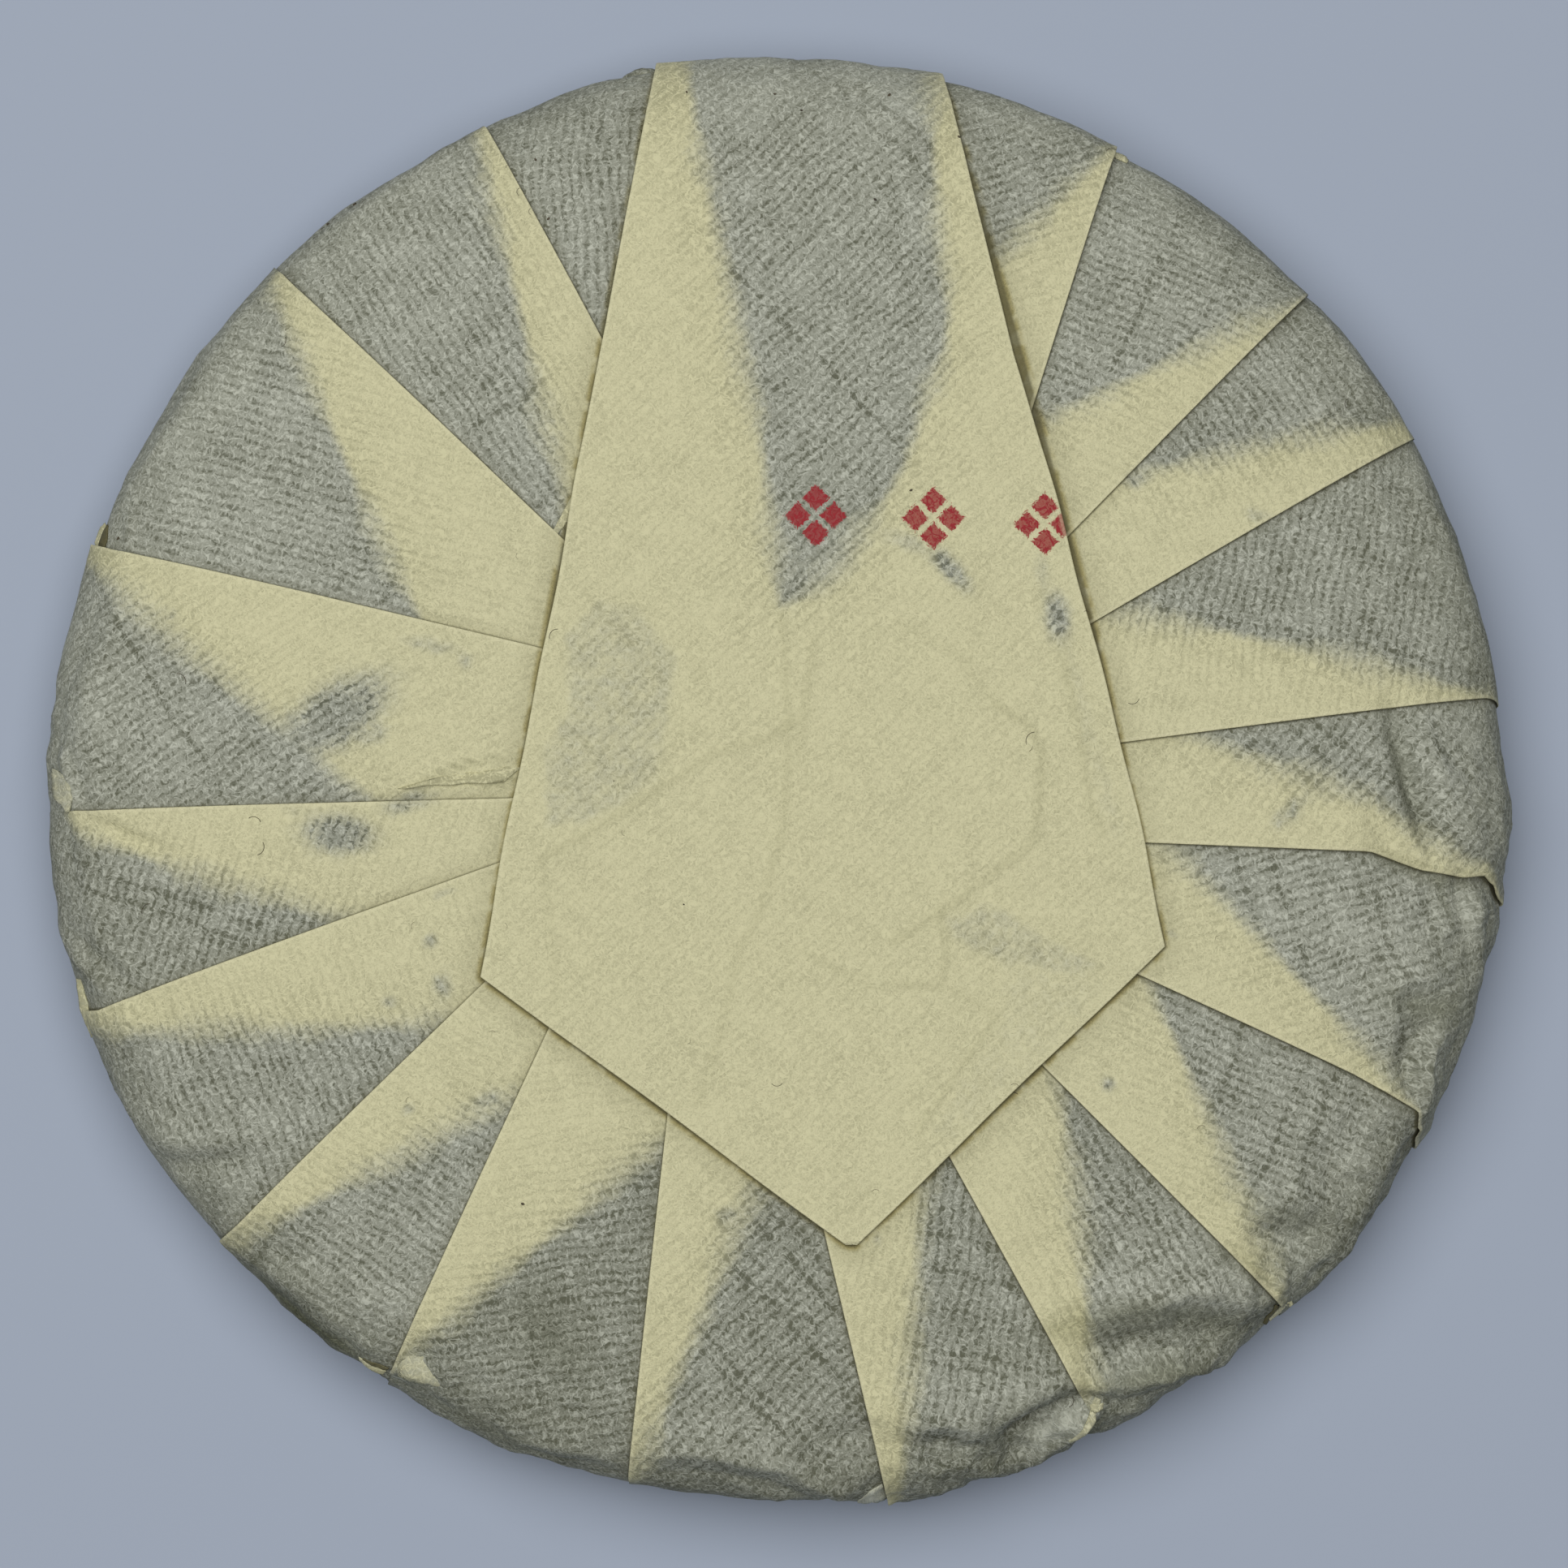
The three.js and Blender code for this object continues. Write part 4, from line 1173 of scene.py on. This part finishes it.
def paperMaterial(name, inked):
    material, tree = newMaterial(name)
    sheet = tree.scaled(tree.node("ShaderNodeUVMap", {"uv_map": "sheet"}), 1 / mm)
    read = ("tuck", "edge", "foot", "gap", "blot", "shade", "seam", "clear", "paintedShade")
    tuck, edge, foot, gap, blot, shade, seam, clear, paintedShade = (tree.attribute(key) for key in read)

    # the sheet wanders a little, so that no rib is straight
    half = (0.5, 0.5, 0.5)
    (wanderScale, wanderSize), (wobbleScale, wobbleSize) = paper["wander"], paper["wobble"]
    wander = tree.vector("SUBTRACT", tree.noise(sheet, wanderScale, 2.0, 0.5, "2D", 1), half)
    wobble = tree.vector("SUBTRACT", tree.noise(sheet, wobbleScale, 1.0, 0.5, "2D", 1), half)
    bend = tree.vector("ADD", tree.scaled(wander, wanderSize), tree.scaled(wobble, wobbleSize))
    moved = tree.vector("ADD", sheet, bend)
    u, v = tree.split(moved)[:2]

    # ribs, and dashes along them that differ from one to the next
    beat = (u * (2 * math.pi / paper["dashPitch"])).cos()
    rib = ((v + beat * 0.07) * (2 * math.pi / paper["ribPitch"])).cos() * 0.5 + 0.5
    row = (v / paper["ribPitch"] + 0.5).floor()
    column = (u / paper["dashPitch"] + 0.5).floor()
    place = tree.combine(column, row)
    cell = tree.node("ShaderNodeTexWhiteNoise", {"noise_dimensions": "2D"}, {"Vector": place})
    patch = tree.noise(sheet, 0.28, 2.0, 0.6, "2D").between(0.3, 0.7)
    threadChance = tree.node("ShaderNodeTexWhiteNoise", {"noise_dimensions": "1D"}, {"W": column})
    thread = threadChance.between(0.85, 0.95) * cell.between(0.0, 0.4)

    # short streaks lying every way: dark ones along the ribs, pale fibres across the others
    su, sv = tree.split(tree.vector("ADD", sheet, tree.scaled(wobble, 1.2)))[:2]

    def streaks(turn, along, across, seed):
        c, s = math.cos(math.radians(turn)), math.sin(math.radians(turn))
        stretched = tree.combine((su * c + sv * s) * along + seed, (sv * c - su * s) * across + seed)
        return tree.noise(stretched, 1.0, 1.0, 0.5, "2D")

    worn = streaks(0, 1.2, 3.0, 3.0)
    dash = beat * 0.5 + 0.5
    woven = rib * 0.84 + dash * 0.36 + cell * 0.22 + thread * 0.5
    dashes = (woven + (worn - 0.5) * 1.4 + patch * 0.18).between(0.88, 1.34)
    lines = dashes * 0.6 + rib * 0.4
    first, second, third = (streaks(turn, 0.8, 3.0, seed) for turn, seed in zip(paper["tilt"], (13, 29, 47)))
    fibre = first.max(second).max(third)
    felt = tree.noise(sheet, 3.4, 1.0, 0.6, "2D")
    grain = (felt - 0.5) * 1.7 - fibre.between(0.58, 0.72) * 1.1 + 0.32

    # doubled paper is cream, with a soft ragged border, and dark tea shows through the rest
    ragged = (tree.noise(sheet, 0.45, 3.0, 0.65, "2D") - 0.5) * 3.2
    loose = tree.noise(sheet, 0.07, 1.0, 0.5, "2D").between(0.3, 0.75)
    reach = 1.1 + 3.2 * loose
    layered = ((tuck + ragged * (0.3 + 0.7 * loose)) / reach - lines * 0.25 + 0.08).between(-1.0, 1.0)
    shownTea = blot + ragged * 0.13 * blot.between(0.0, 0.1) + (dashes - 0.4) * 0.34 * blot * blot
    shownTea = shownTea.between(0.06, 0.90)
    layered = layered * (1 - shownTea)
    tea = tree.noise(sheet, 0.13, 3.0, 0.6, "2D")
    weave = rib * 0.12 + dash * 0.05 + dashes * (0.18 + 0.14 * patch) + thread * 0.10
    # shade: tea showing through, plus painted shade on the wall and in valleys, painted light on ridges
    greyDark = weave * clear + grain * 0.38 + (tea - 0.5) * 0.45 + shade + 0.035
    near = 1 - (tuck + ragged).between(0.0, 10.0)
    creamDark = lines * (0.25 + 0.20 * near) + grain * 0.70 + near * 0.12 + (tea - 0.5) * 0.4
    # cream is darker where the weave is less clear: painted shade on the wall and under painted shade
    creamDark = creamDark + (patch - 0.5) * 0.14 + (1 - clear) * 0.60 + 0.03
    grey = tree.mixColour(greyDark.clamped(), rgba(paper["grey"]), rgba(paper["greyShade"]))
    cream = tree.mixColour(creamDark.clamped(), rgba(paper["cream"]), rgba(paper["creamShade"]))
    colour = tree.mixColour(layered, grey, cream)
    # painted shade: the colour is multiplied towards a dark tint where the painted-shade attribute lies
    colour = tree.mixColour(paintedShade.clamped(), colour, rgba(paper["paintedShade"]), "MULTIPLY")
    if inked:
        colour = tree.mixColour(inkMask(tree, grain * 0.2) * (0.93 - grain * 0.2), colour, rgba(marks["ink"]))

    # painted shadow: dark lines under the folded edges and beside the flap, with soft painted shade,
    # and a painted highlight on the turned edge itself
    ended = seam.between(0.2, 0.9)

    def shadowBeside(atFold, atFlap, strength):
        return ((1 - foot.between(0.0, atFold)) * ended).max(1 - gap.between(0.0, atFlap)) * strength

    # an ochre band beside the flap, partly a stain and partly painted shadow
    start, end, strength = paper["stainAndShadowReach"]
    stainAndShadow = (1 - gap.between(start, end)) * patch.between(-0.2, 0.6) * strength
    colour = tree.mixColour(stainAndShadow, colour, rgba(paper["stainAndShadow"]), "MULTIPLY")
    # painted shadow beside each fold and the flap's edge
    dark = shadowBeside(*paper["foldShadowLine"]) + shadowBeside(*paper["foldShade"])
    colour = tree.mixColour(dark, colour, rgba(paper["line"]))
    start, end, strength = paper["turnedLight"]
    # painted highlight on the turned edge
    paintedHighlight = (1 - edge.between(start, end)) * strength * ended
    colour = tree.mixColour(paintedHighlight, colour, rgba(paper["turnedEdgeHighlight"]))

    height = 0 - grain * 0.5 - lines * 0.5
    bump = tree.node("ShaderNodeBump", {}, {
        "Height": height, "Distance": paper["bump"] * mm, "Strength": 0.9})
    endMaterial(tree, {
        "Base Color": colour,
        "Roughness": paper["roughness"],
        "Normal": bump,
        "Specular IOR Level": 0.3,
    })
    return material


# Brown of dry stalks and leaf crumbs, darker in places
stalk = {
    "dark": (0.030, 0.024, 0.014),
    "light": (0.115, 0.085, 0.045),
    "roughness": 0.7,
}


def stalkMaterial():
    material, tree = newMaterial("tea_stalk")
    place = tree.scaled(tree.node("ShaderNodeTexCoord", output=3), 1 / mm)
    grain = tree.noise(place, 3.0, 3.0, 0.6).between(0.3, 0.7)
    endMaterial(tree, {
        "Base Color": tree.mixColour(grain, rgba(stalk["dark"]), rgba(stalk["light"])),
        "Roughness": stalk["roughness"],
    })
    return material


teaStalk = stalkMaterial()
wrapperPaper = paperMaterial("wrapper_paper", False)
flapPaper = paperMaterial("flap_paper", True)
print("materials: paper made")

crumpleWrapper = crumpleTree(wrapperPaper)
pleatedWrapper = plainPiece(buildWrapper(), crumpleWrapper, crumpling, "pleated_wrapper")
closingFlap = plainPiece(buildFlap(), crumpleTree(flapPaper), crumpling, "closing_flap")
foldLips = plainPiece(buildLips(), crumpleWrapper, crumpling, "fold_lips")
papers = (pleatedWrapper, closingFlap)
fibreTree = fleckTree("placeFibres", fibres["sizes"], teaStalk)
paperFibres = plainPiece(fleckPoints(fibres, papers), fibreTree, fibres["sizes"], "paper_fibres")
crumbTree = fleckTree("placeCrumbs", crumbs["sizes"], teaStalk)
teaCrumbs = plainPiece(fleckPoints(crumbs, papers), crumbTree, crumbs["sizes"], "tea_crumbs")


# Floor, light and camera

stage = {
    "floorSize": 3000.0,
    "floorColour": (0.380, 0.431, 0.524),
    "worldLight": 0.10,
    "lampPlace": (-150, 160, 1400),
    "lampSize": 1700.0,
    "lampPower": 20.7,
    "cameraElevation": 86.0,
    "cameraDistance": 900.0,
    "lookAt": (1.1, -1.05, 12.0),
    "lens": 149.9,
}


def buildFloor():
    half = stage["floorSize"] * mm / 2
    mesh = bpy.data.meshes.new("floor")
    corners = [(-half, -half, 0), (half, -half, 0), (half, half, 0), (-half, half, 0)]
    mesh.from_pydata(corners, [], [(0, 1, 2, 3)])
    material = bpy.data.materials.new("floor")
    material.use_nodes = True
    shader = material.node_tree.nodes["Principled BSDF"]
    shader.inputs["Base Color"].default_value = rgba(stage["floorColour"])
    shader.inputs["Roughness"].default_value = 0.9
    mesh.materials.append(material)
    return meshObject("floor", mesh)


def aim(thing, place, target):
    way = np.array(target, dtype=float) - np.array(place, dtype=float)
    way /= np.linalg.norm(way)
    side = np.cross(way, (0.0, 0.0, 1.0))
    side /= np.linalg.norm(side)
    matrix = np.eye(4)
    matrix[:3, 0], matrix[:3, 1], matrix[:3, 2] = side, np.cross(side, way), -way
    matrix[:3, 3] = np.array(place) * mm
    thing.matrix_world = Matrix(matrix.tolist())


def buildLightAndCamera():
    scene = bpy.context.scene
    world = bpy.data.worlds.new("studio")
    world.use_nodes = True
    world.node_tree.nodes["Background"].inputs[0].default_value = (1, 1, 1, 1)
    world.node_tree.nodes["Background"].inputs[1].default_value = stage["worldLight"]
    scene.world = world
    lamp = bpy.data.lights.new("softbox", "AREA")
    lamp.shape = "DISK"
    lamp.size = stage["lampSize"] * mm
    lamp.energy = stage["lampPower"]
    lampObject = bpy.data.objects.new("softbox", lamp)
    scene.collection.objects.link(lampObject)
    aim(lampObject, stage["lampPlace"], (0, 0, 0))
    camera = bpy.data.cameras.new("camera")
    camera.lens = stage["lens"]
    cameraObject = bpy.data.objects.new("camera", camera)
    scene.collection.objects.link(cameraObject)
    tilt = math.radians(stage["cameraElevation"])
    back = np.array([0, -math.cos(tilt), math.sin(tilt)]) * stage["cameraDistance"]
    aim(cameraObject, np.array(stage["lookAt"]) + back, stage["lookAt"])
    scene.camera = cameraObject
    scene.view_settings.view_transform = "Standard"


floor = buildFloor()
buildLightAndCamera()
print("stage: floor, light and camera set")

for piece in (pleatedWrapper, closingFlap, foldLips, paperFibres, teaCrumbs):
    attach(piece, "root")
    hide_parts("wrapped_tea_cake")
